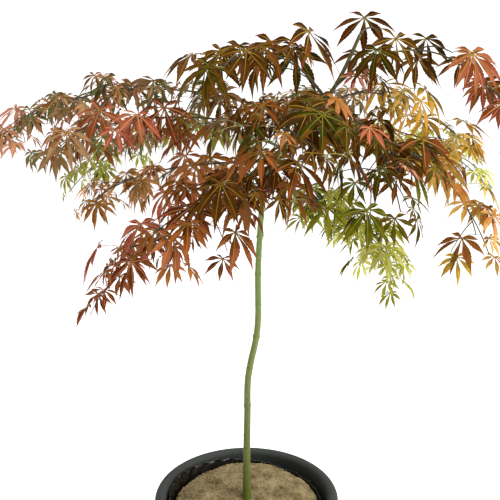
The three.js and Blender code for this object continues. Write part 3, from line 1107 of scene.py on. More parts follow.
class Crown:
    """Grows all sprays by the seeded rule: wood first, then leaves that take room in turn."""

    STEM_STEPS = 89
    BOUGH_STEPS = 12
    SAMPLE_SHARES = (0.25, 0.45, 0.63, 0.82, 1.0)
    STALK_SHARES = (0, 0.5, 0.75)
    LOBE_SHARES = (0.3, 0.55, 0.8, 1)
    LOBES = ((0, 1), (36, 0.95), (-36, 0.95), (74, 0.77), (-74, 0.77), (112, 0.4), (-112, 0.4))

    def __init__(self, line: StemLine) -> None:
        """Grows the whole crown.

        Args:
            line: The stem that the limbs leave.
        """
        self.line = line
        self.rule = SprayRule()
        self.leaf_rule = LeafRule()
        self.fine = FineRule()
        self.room = Room()
        rows = []
        for bearing, reach in self.leaf_rule.rim():
            places = self.SAMPLE_SHARES if reach > 0.5 else (1.0,)
            rows += [(bearing, reach * share) for share in places]
        self.sample_rows = np.array(rows)
        self.lobe_rows = np.array([
            (np.radians(bearing), reach * share)
            for bearing, reach in self.LOBES for share in self.LOBE_SHARES
        ])
        self.sprays = [self.grow(limb, index) for index, limb in enumerate(LIMBS)]
        self.limb_tree = finder(self.limb_wood())
        self.keep_twigs()
        self.share_out_leaves()
        self.fill_in()

    def limb_wood(self) -> np.ndarray:
        """Returns points along the stem and the bare boughs."""
        points = [self.line.point(share) for share in shares(self.STEM_STEPS)]
        steps = self.BOUGH_STEPS
        for spray in self.sprays:
            limb = spray.limb
            if limb.bare:
                points += [limb.point(spray.root, limb.bare * i / steps) for i in range(steps + 1)]
        return np.array(points)

    def grow(self, limb: Limb, index: int) -> Spray:
        """Grows the wood and the buds of one spray.

        Args:
            limb: The limb that it stands on.
            index: The limb's place in the list, which seeds its run of numbers.

        Returns:
            The spray.
        """
        rule = self.rule
        draw = Draw(SEED + rule.seed_step * index)
        for _ in range(rule.first_draws):
            draw()
        root = self.line.at_height(limb.start)
        begin = limb.bare
        if limb.bare or limb.start >= self.line.top:
            wanted = GAP + rule.slack if limb.bare else 2 * GAP
            end = limb.point(root, limb.bare)
            while np.linalg.norm(limb.point(root, begin) - end) < wanted:
                begin += rule.seat_step
        spray = Spray(limb, root, begin)
        line = spray.line(rule.line_steps)
        spray.stem.append(line[0])
        total = sum(steps_of(line))
        nodes = limb.nodes or max(rule.fewest_nodes, math.floor(total / limb.internode + 0.5))
        for n in range(1, nodes + 1):
            back = draw.over(*rule.setback) if n < nodes else 0
            t = mix(begin, 1, (n - back) / nodes)
            point = limb.point(root, t)
            along = unit(limb.point(root, t + rule.look) - limb.point(root, t - rule.look))
            fade = n / nodes
            spray.stem.append(point)
            for hand in (-1, 1):
                if n < nodes and (n + (1 if hand > 0 else 0)) % 2 == 0:
                    spray.twigs.append(self.twig(point, along, hand, fade, draw))
                else:
                    spray.buds.append(self.bud(point, along, hand, fade, draw))
            if n == nodes:
                spray.buds.append(self.bud(point, along, 0, 1, draw))
        for twig in spray.twigs:
            for share, hand in Twig.places(rule.pair_at):
                fade = min(1, twig.fade * rule.fading[0] + rule.fading[1] * share)
                bud = self.bud(twig.at(share), twig.way_at(share), hand, fade, draw)
                bud.twig = twig
                spray.buds.append(bud)
        return spray

    def twig(self, point: np.ndarray, along: np.ndarray, hand: int, fade: float,
             draw: Draw) -> Twig:
        """Grows a side twig.

        Args:
            point: Where it starts.
            along: Which way the wood under it runs.
            hand: -1 or 1, the side that it grows to.
            fade: How far out on the spray it is, from 0 to 1.
            draw: The run of numbers.

        Returns:
            The twig.
        """
        rule = self.rule
        side, _ = sides_of(along)
        way = side * (hand * draw.over(*rule.twig_aside)) + along * rule.twig_along
        way = unit(way + UP * draw.over(*rule.twig_rise))
        length = rule.twig_length * (1 - rule.twig_fading * fade) * draw.over(*rule.twig_size)
        return Twig(point, way, length, fade, rule.twig_droop)

    def bud(self, point: np.ndarray, along: np.ndarray, hand: int, fade: float,
            draw: Draw) -> Bud:
        """Sets a bud.

        Args:
            point: Where it is.
            along: Which way the wood under it runs.
            hand: -1 or 1 for a leaf of a pair, 0 for the single one at a tip.
            fade: How far out on the spray it is, from 0 to 1.
            draw: The run of numbers.

        Returns:
            The bud.
        """
        rule = self.rule
        side, over = sides_of(along)
        young = fade > rule.young_from
        end_size = rule.young_size if young else rule.outer_size
        size = mix(rule.inner_size, end_size, fade * fade) * draw.over(*rule.leaf_size)
        stalk = rule.petiole * size * draw.over(*rule.petiole_size)
        way = side * (hand * draw.over(*rule.petiole_aside))
        way = way + along * (rule.petiole_along if hand else 1)
        way = unit(way + over * draw.over(*rule.petiole_rise))
        droop = rule.young_droop if young else rule.droop
        droop += rule.droop_spread * (draw() - 0.5)
        roll = math.radians(rule.roll_spread * (draw() - 0.5))
        return Bud(point, way, stalk, droop, roll, self.leaf_rule.length * size, fade)

    def leaf(self, bud: Bud, giving: tuple[float, float, float]) -> Leaf:
        """Returns the leaf that grows from a bud when it gives way by so much.

        Args:
            bud: The bud.
            giving: The share of its size, and degrees more droop and turn.

        Returns:
            The leaf, with its sample points.
        """
        size, droop_more, turn = giving
        droop = math.radians(bud.droop + droop_more)
        level = unit(xyz(bud.way[0], bud.way[1], 0))
        c, s = math.cos(math.radians(turn)), math.sin(math.radians(turn))
        level = xyz(c * level[0] - s * level[1], s * level[0] + c * level[1], 0)
        flat = np.cross(UP, level)
        ahead = level * math.cos(droop) - UP * math.sin(droop)
        across = flat * math.cos(bud.roll) + np.cross(ahead, flat) * math.sin(bud.roll)
        base = bud.root + bud.way * (bud.stalk * size)
        leaf = Leaf(bud.root, base, ahead, across, np.cross(ahead, across), bud.length * size,
                    bud.fade)
        stalk = [mix(base, bud.root, share) for share in self.STALK_SHARES]
        blade = leaf.spread(self.sample_rows, self.leaf_rule.curl)
        leaf.samples = np.vstack([stalk, blade])
        return leaf

    def others(self, spray: Spray) -> np.ndarray:
        """Returns the wood of all sprays but one, as far as their twigs are chosen."""
        pair_at = self.rule.pair_at
        return np.vstack([o.wood(o.kept, pair_at) for o in self.sprays if o is not spray])

    def keep_twigs(self) -> None:
        """Keeps the side twigs that stay clear of limbs and nearest to their own spray."""
        pair_at = self.rule.pair_at
        for spray in self.sprays:
            own = finder(spray.wood([], pair_at))
            rest = finder(self.others(spray))
            for twig in spray.twigs:
                ends = twig.points(pair_at)[1:]
                if (
                    all(nearest(own, p) < nearest(rest, p) + self.room.nearer_own for p in ends)
                    and is_clear(ends, rest, self.room.twigs)
                    and is_clear(ends, self.limb_tree, 2 * self.room.limbs)
                ):
                    spray.kept.append(twig)

    def share_out_leaves(self) -> None:
        """Gives the sprays their leaves in turn, each where it has room."""
        rests = [finder(self.others(spray)) for spray in self.sprays]
        taken: list[tuple[Spray, Leaf]] = []
        most = max(len(spray.buds) for spray in self.sprays)
        for turn in range(most):
            for spray, rest in zip(self.sprays, rests):
                bud = spray.buds[turn] if turn < len(spray.buds) else None
                if bud is None or (bud.twig is not None and bud.twig not in spray.kept):
                    continue
                tries = (self.leaf(bud, giving) for giving in self.rule.giving_way)
                leaf = next((t for t in tries if self.has_room(spray, t, rest, taken)), None)
                if leaf is None:
                    continue
                taken.append((spray, leaf))
                spray.leaves.append(leaf)
                if bud.twig is not None:
                    bud.twig.in_leaf = True

    def has_room(self, spray: Spray, leaf: Leaf, rest: kdtree.KDTree,
                 taken: list[tuple[Spray, Leaf]]) -> bool:
        """Returns whether a leaf touches nothing and leaves other sprays their room.

        Args:
            spray: The leaf's spray.
            leaf: The leaf.
            rest: The wood of the other sprays.
            taken: The leaves that are in place.

        Returns:
            True if it has room.
        """
        samples, blade = leaf.samples, leaf.samples[len(self.STALK_SHARES):]
        if not is_clear(blade, self.limb_tree, self.room.limbs):
            return False
        if not is_clear(samples, rest, self.room.other_wood):
            return False
        for other_spray, other in taken:
            own = other_spray is spray
            room = self.room.own_leaves if own else self.room.other_leaves
            apart = np.linalg.norm(other.base - leaf.base)
            if apart > other.length + leaf.length + 2 * room:
                continue
            mine = blade if own else samples
            gaps = np.linalg.norm(mine[:, None] - other.samples[None], axis=2)
            if gaps.min() <= room:
                return False
        return True

    def cells(self, leaf: Leaf) -> set[tuple[int, int, int]]:
        """Returns the cells of space that a leaf's lobes pass through."""
        blade = leaf.spread(self.lobe_rows, self.leaf_rule.curl)
        return set(map(tuple, np.floor(blade / self.fine.cell).astype(int).tolist()))

    def fill_in(self) -> None:
        """Grows short twigs with small leaves wherever a spray has room left."""
        fine = self.fine
        taken: set[tuple[int, int, int]] = set()
        for spray in self.sprays:
            for leaf in spray.leaves:
                leaf.shrink(spray.limb.leaf_size)
                taken |= self.cells(leaf)
        for index, spray in enumerate(self.sprays):
            reach = np.vstack([leaf.samples for leaf in spray.leaves])
            low, high = reach.min(0) - fine.margin, reach.max(0) + fine.margin
            draw = Draw(SEED + fine.seed_step * (index + 1))
            lines = [spray.line(fine.line_steps)]
            lines += [[twig.at(share) for share in shares(fine.twig_steps)] for twig in spray.kept]
            for line in lines:
                self.fill_line(Filling(spray, low, high, taken, draw), line)

    def fill_line(self, work: Filling, line: list[np.ndarray]) -> None:
        """Grows the short twigs along one line of wood.

        Args:
            work: The spray and what its finer growth goes by.
            line: The line's points.
        """
        steps, draw = steps_of(line), work.draw
        total, gone = sum(steps), 0.0
        due = self.fine.step * draw()
        for point, after, step in zip(line, line[1:], steps):
            gone += step
            if gone < due:
                continue
            due = gone + self.fine.step * draw.between(*self.fine.step_size)
            along = unit(after - point)
            for hand in (-1, 1):
                share = gone / total
                if draw() < work.spray.limb.fullness * (1 - self.fine.thinning * share ** 2):
                    self.fine_twig(work, point, along, hand, share)

    def fine_twig(self, work: Filling, point: np.ndarray, along: np.ndarray, hand: int,
                  share: float) -> None:
        """Grows one short twig and its leaves, in the first direction that has room.

        Args:
            work: The spray and what its finer growth goes by.
            point: Where the twig starts.
            along: Which way the wood under it runs.
            hand: -1 or 1, the side that it grows to.
            share: How far along its line it starts.
        """
        fine, draw = self.fine, work.draw
        side, _ = sides_of(along)
        young = draw() < fine.young_share + fine.young_more * share
        for _ in range(fine.tries):
            way = side * (hand * draw.between(*fine.aside)) + along * draw.between(*fine.ahead)
            way = unit(way + UP * draw.between(*fine.rise))
            twig = Twig(point, way, draw.between(*fine.twig), share, fine.droop)
            grown = []
            for spot, turned_to in Twig.places(fine.pair_at):
                if spot < 1 and twig.length < fine.paired_from:
                    continue
                tender = young and spot == 1
                bud = self.bud(twig.at(spot), twig.way_at(spot), turned_to,
                               1.0 if tender else 0.5, draw)
                size = draw.between(*fine.leaf) * (fine.tip_leaf if tender else 1)
                bud.stalk = size * draw.between(*fine.stalk)
                bud.length = size * mix(1, work.spray.limb.leaf_size, 0.5)
                bud.droop += draw.between(*fine.hang)
                leaf = self.leaf(bud, (1, 0, 0))
                fade = share * fine.fading[0] + fine.fading[1] * spot
                leaf.fade = min(1.0, fade + (fine.young_fading if young else 0))
                leaf.young, leaf.small = tender, True
                if self.fits(work, leaf):
                    grown.append(leaf)
                    work.taken |= self.cells(leaf)
            if grown:
                work.spray.leaves += grown
                work.spray.fine.append(twig)
                return

    def fits(self, work: Filling, leaf: Leaf) -> bool:
        """Returns whether a small leaf stays in its space and off limbs and other leaves."""
        blade = leaf.spread(self.lobe_rows, self.leaf_rule.curl)
        if (blade < work.low).any() or (blade > work.high).any():
            return False
        if len(self.cells(leaf) & work.taken) > self.fine.crossings:
            return False
        return is_clear(blade[::3], self.limb_tree, self.fine.limb_room)


# ---------------------------------------------------------------- leaf colours
# A tone is a choice of three leaves. Each names its inner colour, its outer one and its ribs'.
# The paler colours, such as haze_pale, russet_pale, lime and lime_pale, are partly the leaves' own
# colour and partly painted light shining through backlit leaves.
PALETTE: dict[str, Colour] = {
    "umber_dark": (54, 30, 2), "umber": (78, 46, 5), "bronze": (102, 64, 14),
    "copper": (128, 74, 24), "moss_dark": (50, 48, 2), "moss": (84, 78, 8),
    "rust_dark": (94, 44, 10), "rust": (130, 68, 30), "rust_pale": (158, 98, 56),
    "flame": (148, 100, 34), "flame_pale": (186, 144, 70),
    "russet": (136, 76, 46), "russet_pale": (168, 110, 78), "coral_deep": (128, 58, 38),
    "coral": (156, 80, 58), "coral_pale": (182, 122, 94), "amber_deep": (140, 102, 24),
    "amber": (182, 136, 50), "amber_pale": (206, 168, 92), "haze": (112, 88, 48),
    "haze_pale": (152, 120, 84), "olive_dark": (48, 54, 2), "olive": (80, 84, 4),
    "olive_pale": (130, 126, 36), "lime_deep": (134, 136, 28), "lime": (156, 158, 62),
    "lime_pale": (184, 180, 104), "sage": (104, 106, 66), "tan": (172, 124, 74),
    "tan_pale": (200, 154, 106), "rib_gold": (148, 118, 40), "rib_olive": (118, 114, 30),
    "rib_lime": (174, 172, 92), "rib_rose": (196, 144, 96),
}
TONES: dict[str, tuple[str, ...]] = {
    "umber": ("umber_dark umber rib_gold", "moss_dark umber rib_olive",
              "umber_dark rust_dark rib_gold"),
    "bronze": ("umber bronze rib_gold", "moss_dark bronze rib_olive", "umber_dark copper rib_gold"),
    "moss": ("moss_dark moss rib_olive", "moss bronze rib_gold", "olive_dark moss rib_olive"),
    "rust": ("bronze rust rib_gold", "rust_dark rust rib_gold", "copper rust_pale rib_gold"),
    "flame": ("rust flame rib_gold", "flame flame_pale rib_gold", "rust_pale flame_pale rib_gold"),
    "blush": ("russet russet_pale rib_rose", "russet_pale coral_pale rib_rose",
              "haze_pale russet_pale rib_gold"),
    "russet": ("rust_dark russet rib_rose", "rust russet_pale rib_rose", "copper russet rib_gold"),
    "coral": ("rust coral rib_rose", "coral_deep coral rib_rose", "coral_deep coral_pale rib_rose"),
    "brick": ("rust_dark coral_deep rib_rose", "rust_dark russet rib_gold",
              "coral_deep coral rib_rose"),
    "amber": ("moss amber rib_gold", "amber_deep amber rib_gold", "amber_deep amber_pale rib_lime"),
    "haze": ("haze haze_pale rib_gold", "bronze haze_pale rib_rose", "sage haze rib_olive"),
    "sage": ("moss_dark sage rib_olive", "olive_dark sage rib_lime", "sage haze rib_olive"),
    "olive": ("olive_dark olive rib_lime", "olive_dark olive_pale rib_lime",
              "olive olive_pale rib_olive"),
    "tan": ("haze tan rib_gold", "russet tan_pale rib_rose", "copper tan rib_gold"),
    "lime": ("olive_pale lime rib_lime", "lime_deep lime_pale rib_lime", "lime_deep lime rib_lime"),
}


class Finishes:
    """All materials of the plant, each made once."""

    def __init__(self) -> None:
        """Makes the materials."""
        effects = Effects()
        self.blades: dict[str, bpy.types.Material] = {}
        self.stalk = PlainFinish("stalk_green", (146, 144, 74), 0.45).make()
        self.stalk_red = PlainFinish("stalk_red", (168, 96, 66), 0.45).make()
        self.twig = PlainFinish("twig_bark", (58, 52, 26), 0.55).make()
        self.stem = BarkFinish(
            "stem_bark",
            ((0.0, (88, 96, 28)), (0.2, (80, 93, 25)), (0.33, (99, 108, 39)),
             (0.45, (101, 120, 46)), (0.64, (114, 140, 62)), (0.8, (96, 106, 46)),
             (0.88, (66, 60, 28)), (1.0, (76, 60, 30))),
            low=169.8, high=653,
        ).make(effects)
        self.bough = BarkFinish(
            "bough_bark", ((0.0, (112, 122, 62)), (1.0, (104, 108, 60))),
            low=500, high=620,
        ).make(effects)
        self.pot = MouldedFinish(
            "pot_plastic", (54, 57, 54), (100, 102, 98), smoothest=0.51, grain=900.0, dusting=0.3,
            specular=0.15,
        ).make(effects)
        self.liner = MouldedFinish(
            "liner_film", (5, 6, 6), (40, 42, 38), smoothest=0.13, grain=300.0, dusting=0.2,
            coat=0.4,
        ).make(effects)
        self.soil = SoilFinish(
            "potting_mix", pale=(148, 132, 97), middle=(122, 107, 74), dark=(86, 75, 52),
        ).make(effects)
        self.crumb = SoilFinish(
            "potting_grains", pale=(164, 148, 112), middle=(130, 114, 80), dark=(86, 74, 52),
        ).make(effects)

    def blade(self, key: str) -> bpy.types.Material:
        """Returns a leaf finish by the name of its colour, or of two colours that it is between."""
        if key not in self.blades:
            parts = [PALETTE[name] for name in key.split("+")]
            colour = tuple(sum(channel) // len(parts) for channel in zip(*parts))
            name = "leaf_" + key.replace("+", "_to_")
            self.blades[key] = PlainFinish(name, colour, roughness=0.45, specular=0.03).make()
        return self.blades[key]


# ---------------------------------------------------------------- foliage
@dataclass(frozen=True)
class CutLeaf:
    """A leaf cut nearly to its foot into seven toothed, long-tailed lobes."""

    bearing: tuple[float, ...] = (0, 42, -42, 82, -82, 122, -122)
    reach: tuple[float, ...] = (1, 0.95, 0.95, 0.77, 0.77, 0.42, 0.42)
    basal_from: int = 5
    half_width: float = 0.106
    rib: float = 0.0085
    ridge: float = 0.004
    curl: float = 0.2
    fold: float = 0.6
    sag: float = 0.1
    bend: float = 0.1
    young_closing: float = 0.72
    young_slimness: float = 0.68
    closing: Pair = (0.9, 1.04)
    fanning: float = 4.0
    reaching: Pair = (0.9, 1.0)
    slimness: Pair = (0.86, 1.08)
    curling: Pair = (0.4, 1.7)
    twisting: float = 0.28
    least_reach: float = 0.55
    rib_taper: float = 0.72
    lobe_step: float = 0.0012
    ripple: float = 0.006
    ripples: float = 11.0
    margin: tuple[tuple[float, float], ...] = (
        (0, 0.14), (0.12, 0.2), (0.24, 0.42), (0.36, 0.74), (0.45, 0.96), (0.465, 0.84),
        (0.54, 1.04), (0.555, 0.88), (0.625, 0.95), (0.64, 0.78), (0.71, 0.72), (0.725, 0.57),
        (0.81, 0.38), (0.9, 0.17), (1, 0.02),
    )
    plain_margin: tuple[tuple[float, float], ...] = (
        (0, 0.14), (0.18, 0.3), (0.34, 0.68), (0.47, 0.98), (0.58, 0.9), (0.7, 0.76),
        (0.72, 0.58), (0.87, 0.24), (1, 0.02),
    )
    basal_margin: tuple[tuple[float, float], ...] = (
        (0, 0.2), (0.2, 0.5), (0.45, 0.98), (0.62, 0.9), (0.82, 0.4), (1, 0.03),
    )

    def template(self, toothed: bool) -> tuple[np.ndarray, np.ndarray, np.ndarray, np.ndarray]:
        """Works out the rows that all leaves share.

        Args:
            toothed: Whether the lobes have their full saw teeth.

        Returns:
            For each point its lobe, share along it, side (-1 to 1) and width share; the faces;
            for each face its column, 1 for the rib; and for each face its lobe and its share
            along the lobe.
        """
        rows, faces, columns, places = [], [], [], []
        for lobe in range(len(self.bearing)):
            margin = self.margin if toothed else self.plain_margin
            if lobe >= self.basal_from:
                margin = self.basal_margin
            start = len(rows)
            for t, width in margin:
                rows += [(lobe, t, side, width) for side in (-1, -0.5, 0.5, 1)]
            for i in range(len(margin) - 1):
                for j in range(3):
                    a = start + 4 * i + j
                    faces.append((a, a + 4, a + 5, a + 1))
                    columns.append(j)
                    places.append((lobe, (margin[i][0] + margin[i + 1][0]) / 2))
        return np.array(rows, float), np.array(faces), np.array(columns), np.array(places)


class LeafMaker:
    """Places cut leaves, each with its own small differences."""

    def __init__(self, shape: CutLeaf, toothed: bool) -> None:
        """Prepares the shared rows.

        Args:
            shape: The leaf's outline and form.
            toothed: Whether the lobes have their full saw teeth.
        """
        self.shape = shape
        rows, self.faces, self.columns, places = shape.template(toothed)
        self.face_lobes, self.shares = places[:, 0].astype(int), places[:, 1]
        self.lobe = rows[:, 0].astype(int)
        self.t, self.side, self.width = rows[:, 1], rows[:, 2], rows[:, 3]

    def points(self, leaf: Leaf, chance: np.random.Generator) -> np.ndarray:
        """Returns the points of one leaf.

        Args:
            leaf: Where the leaf is and how it hangs.
            chance: The numbers for its small differences.

        Returns:
            Its points, in millimetres.
        """
        shape = self.shape
        lobes = len(shape.bearing)
        young = leaf.young
        closing = shape.young_closing if young else chance.uniform(*shape.closing)
        bearing = np.array(shape.bearing) * closing + chance.normal(0, shape.fanning, lobes)
        bearing = np.radians(bearing)
        reach = np.array(shape.reach) * chance.uniform(*shape.reaching, lobes)
        slim = shape.young_slimness if young else 1.0
        slim = slim * chance.uniform(*shape.slimness, lobes)
        curl = shape.curl * chance.uniform(*shape.curling, lobes)
        twist = chance.normal(0, shape.twisting, lobes)
        wave = chance.uniform(0, 2 * math.pi, lobes)
        lobe, t = self.lobe, self.t
        out = reach[lobe] * t
        turn = bearing[lobe] * (1 - shape.bend * t * t)
        rib = np.abs(self.side) < 0.9
        broad = shape.half_width * slim[lobe] * self.width
        broad = broad * np.maximum(reach[lobe], shape.least_reach)
        narrow = shape.rib * (1 - shape.rib_taper * t)
        lateral = np.where(rib, narrow, broad) * np.sign(self.side)
        lateral = np.where(rib, np.clip(lateral, -0.5 * broad, 0.5 * broad), lateral)
        lift = np.where(rib, shape.ridge * (1 - t), 0.0) + lobe * shape.lobe_step
        lift += np.abs(lateral) * shape.fold * (1 - 0.5 * t) + lateral * twist[lobe]
        ripple = shape.ripple * np.sin(shape.ripples * t + wave[lobe] + self.side)
        lift += np.where(rib, 0, ripple)
        lift -= curl[lobe] * out * out
        x = out * np.cos(turn) - lateral * np.sin(turn)
        y = out * np.sin(turn) + lateral * np.cos(turn)
        size = leaf.length
        spot = leaf.base + size * (
            x[:, None] * leaf.ahead + y[:, None] * leaf.across + lift[:, None] * leaf.face
        )
        level = 1 - np.abs(np.cos(turn) * leaf.ahead[2] + np.sin(turn) * leaf.across[2])
        return spot - UP * (shape.sag * size * level * out * out)[:, None]


@dataclass(frozen=True)
class ToneRule:
    """How a leaf's tone goes by its place on the spray, and its colours by the place on a lobe,
    with painted shade on one half of each lobe and painted light on the other.
    """

    toothed_from: float = 27.0
    zones: Pair = (0.35, 0.72)
    zone_spread: float = 0.12
    small_zone: int = 3
    small_share: Pair = (0.75, 0.35)
    lobe_spread: float = 0.07
    # Painted shade and light of a lobe's fold: one half is pushed towards the darker inner colour,
    # the other towards the lighter outer one.
    fold_shade_shift: float = 0.17
    bands: Pair = (0.15, 0.8)
    rib_end: float = 0.8


@dataclass(frozen=True)
class WoodForm:
    """How thick the finer wood is from foot to tip, as radii in millimetres."""

    stem: Pair = (1.05, 0.5)
    stem_steps: int = 40
    neck: float = 1.3
    stem_neck: float = 1.7
    neck_steps: int = 6
    side_twig: Pair = (0.75, 0.45)
    side_steps: int = 6
    fine_twig: tuple[float, ...] = (0.55, 0.48, 0.4, 0.36)
    twig_sides: int = 7
    stalk: tuple[float, ...] = (0.5, 0.36, 0.33, 0.33, 0.42, 0.4)
    stalk_arch: Pair = (0.04, 0.12)
    stalk_sides: int = 5
    stalk_end: float = 0.6
    full_leaf: float = 36.0


class Foliage:
    """Dresses every spray: leaves in their tones, leaf stalks and twigs."""

    tones = ToneRule()
    wood = WoodForm()

    def __init__(self, crown: Crown, finishes: Finishes, tubes: TreeMaker) -> None:
        """Takes what the sprays need.

        Args:
            crown: The grown crown.
            finishes: The materials.
            tubes: The tree that makes limbs from lines.
        """
        self.crown = crown
        self.finishes = finishes
        self.tubes = tubes
        self.makers = {toothed: LeafMaker(CutLeaf(), toothed) for toothed in (False, True)}

    def build(self) -> None:
        """Builds the pieces of every spray."""
        for index, spray in enumerate(self.crown.sprays):
            name = spray.limb.name
            chance = np.random.default_rng(SEED + index)
            leaves = self.leaves(spray, chance)
            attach(leaves, BODY)
            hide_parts(f"spray_{name}")
            twigs = self.twigs(spray)
            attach(twigs, BODY)
            stalks = self.stalks(spray, chance)
            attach(stalks, BODY)
            LOG.info("spray %s: %d leaves, %d faces", name, len(spray.leaves),
                     len(leaves.data.polygons))

    def tone(self, spray: Spray, leaf: Leaf, chance: np.random.Generator) -> list[str]:
        """Picks the three colours of a leaf by its spray and its place on it."""
        rule = self.tones
        place = leaf.fade + chance.normal(0, rule.zone_spread)
        zone = sum(place >= edge for edge in rule.zones)
        if leaf.small and zone < len(rule.zones) and chance.random() < rule.small_share[zone]:
            zone = rule.small_zone
        choices = TONES[spray.limb.tones[zone]]
        return choices[int(chance.integers(len(choices)))].split()

    def leaves(self, spray: Spray, chance: np.random.Generator) -> bpy.types.Object:
        """Joins a spray's leaves into one piece.

        Args:
            spray: The spray.
            chance: The numbers for small differences.

        Returns:
            The piece.
        """
        rule = self.tones
        points, faces, slots, names, count = [], [], [], [], 0
        for leaf in spray.leaves:
            maker = self.makers[leaf.length > rule.toothed_from]
            inner, outer, rib = self.tone(spray, leaf, chance)
            middle = f"{inner}+{outer}"
            for key in (inner, middle, outer, rib):
                if key not in names:
                    names.append(key)
            lobes = len(maker.shape.bearing)
            place = maker.shares + chance.normal(0, rule.lobe_spread, lobes)[maker.face_lobes]
            # Painted fold shading: one half of each lobe is darker, the other half lighter.
            place = place + rule.fold_shade_shift * (maker.columns - 1)
            first, second = sorted(chance.uniform(*rule.bands, 2))
            keys = np.array([names.index(key) for key in (inner, middle, outer, rib)])
            zone = (place > first).astype(int) + (place > second)
            zone = np.where((maker.columns == 1) & (maker.shares < rule.rib_end), 3, zone)
            slots += keys[zone].tolist()
            faces += (maker.faces + count).tolist()
            points.append(maker.points(leaf, chance))
            count += len(points[-1])
        materials = [self.finishes.blade(key) for key in names]
        return solid_piece(f"leaves_{spray.limb.name}", np.concatenate(points), faces, *materials,
                           slots=slots)

    def lines(self, name: str, chains: Iterable[tuple[Sequence, Sequence]], sides: int,
              material: bpy.types.Material) -> bpy.types.Object:
        """Makes round limbs along chains of points.

        Args:
            name: The name of the piece.
            chains: Pairs of points and radii, in millimetres.
            sides: How many sides the limbs have.
            material: Their material.

        Returns:
            The piece.
        """
        points, edges, radii = [], [], []
        for chain, thick in chains:
            start = len(points)
            points += [tuple(p * MM) for p in chain]
            radii += [r * MM for r in thick]
            edges += [(start + i, start + i + 1) for i in range(len(chain) - 1)]
        mesh = bpy.data.meshes.new(name)
        mesh.from_pydata(points, edges, [])
        mesh.attributes.new("thickness", "FLOAT", "POINT").data.foreach_set("value", radii)
        guide = bpy.data.objects.new(f"{name}_guide", mesh)
        return self.tubes.run(guide, name, {"Sides": sides, "Material": material})

    def twigs(self, spray: Spray) -> bpy.types.Object:
        """Makes a spray's own stem and its side twigs."""
        form, limb = self.wood, spray.limb
        neck = form.neck if limb.bare else form.stem_neck
        thick = [mix(*form.stem, share) for share in shares(form.stem_steps)]
        thick = [max(r, mix(neck, r, min(1, i / form.neck_steps))) for i, r in enumerate(thick)]
        chains = [(spray.line(form.stem_steps), thick)]
        side = [mix(*form.side_twig, share) for share in shares(form.side_steps)]
        for twigs, radii in (([t for t in spray.kept if t.in_leaf], side),
                             (spray.fine, form.fine_twig)):
            places = shares(len(radii) - 1)
            chains += [([twig.at(share) for share in places], radii) for twig in twigs]
        return self.lines(f"twigs_{limb.name}", chains, form.twig_sides, self.finishes.twig)

    def stalks(self, spray: Spray, chance: np.random.Generator) -> bpy.types.Object:
        """Makes the stalks of a spray's leaves, each a slight arch."""
        form, chains = self.wood, []
        for leaf in spray.leaves:
            gap = leaf.base - leaf.root
            arch = UP * float(np.linalg.norm(gap)) * chance.uniform(*form.stalk_arch)
            chain = [leaf.root + gap * s + arch * 4 * s * (1 - s) for s in shares(4)]
            chain.append(leaf.base + leaf.ahead * form.stalk_end)
            chains.append((chain, [r * min(1.0, leaf.length / form.full_leaf) for r in form.stalk]))
        warm = spray.limb.tint in (Tint.RUSSET, Tint.CORAL)
        material = self.finishes.stalk_red if warm else self.finishes.stalk
        return self.lines(f"stalks_{spray.limb.name}", chains, form.stalk_sides, material)


# ---------------------------------------------------------------- stem and boughs
def limb_skin(points: np.ndarray, radii: np.ndarray, sides: int) -> tuple[np.ndarray, list]:
    """Makes a round skin along a line, closed at both ends.

    Args:
        points: The line.
        radii: The radius at each point and side, or at each point alone.
        sides: How many sides it has.

    Returns:
        The points and the faces.
    """
    radii = np.broadcast_to(np.asarray(radii).reshape(len(points), -1), (len(points), sides))
    turn = turns(sides)
    across = xyz(0, 1, 0)
    rows = []
    for i, point in enumerate(points):
        along = unit(points[min(i + 1, len(points) - 1)] - points[max(i - 1, 0)])
        if i == 0 and abs(along[1]) > 0.9:
            across = xyz(1, 0, 0)
        across = unit(across - along * float(np.dot(across, along)))
        third = np.cross(along, across)
        rows.append(point + radii[i][:, None] * (
            np.cos(turn)[:, None] * across + np.sin(turn)[:, None] * third))
    return closed_skin(rows, points[0], points[-1])


def bell(gap: np.ndarray, width: float) -> np.ndarray:
    """Returns a smooth bump: 1 where the gap is nought and close to 0 two widths away."""
    return np.exp(-(gap / width) ** 2)


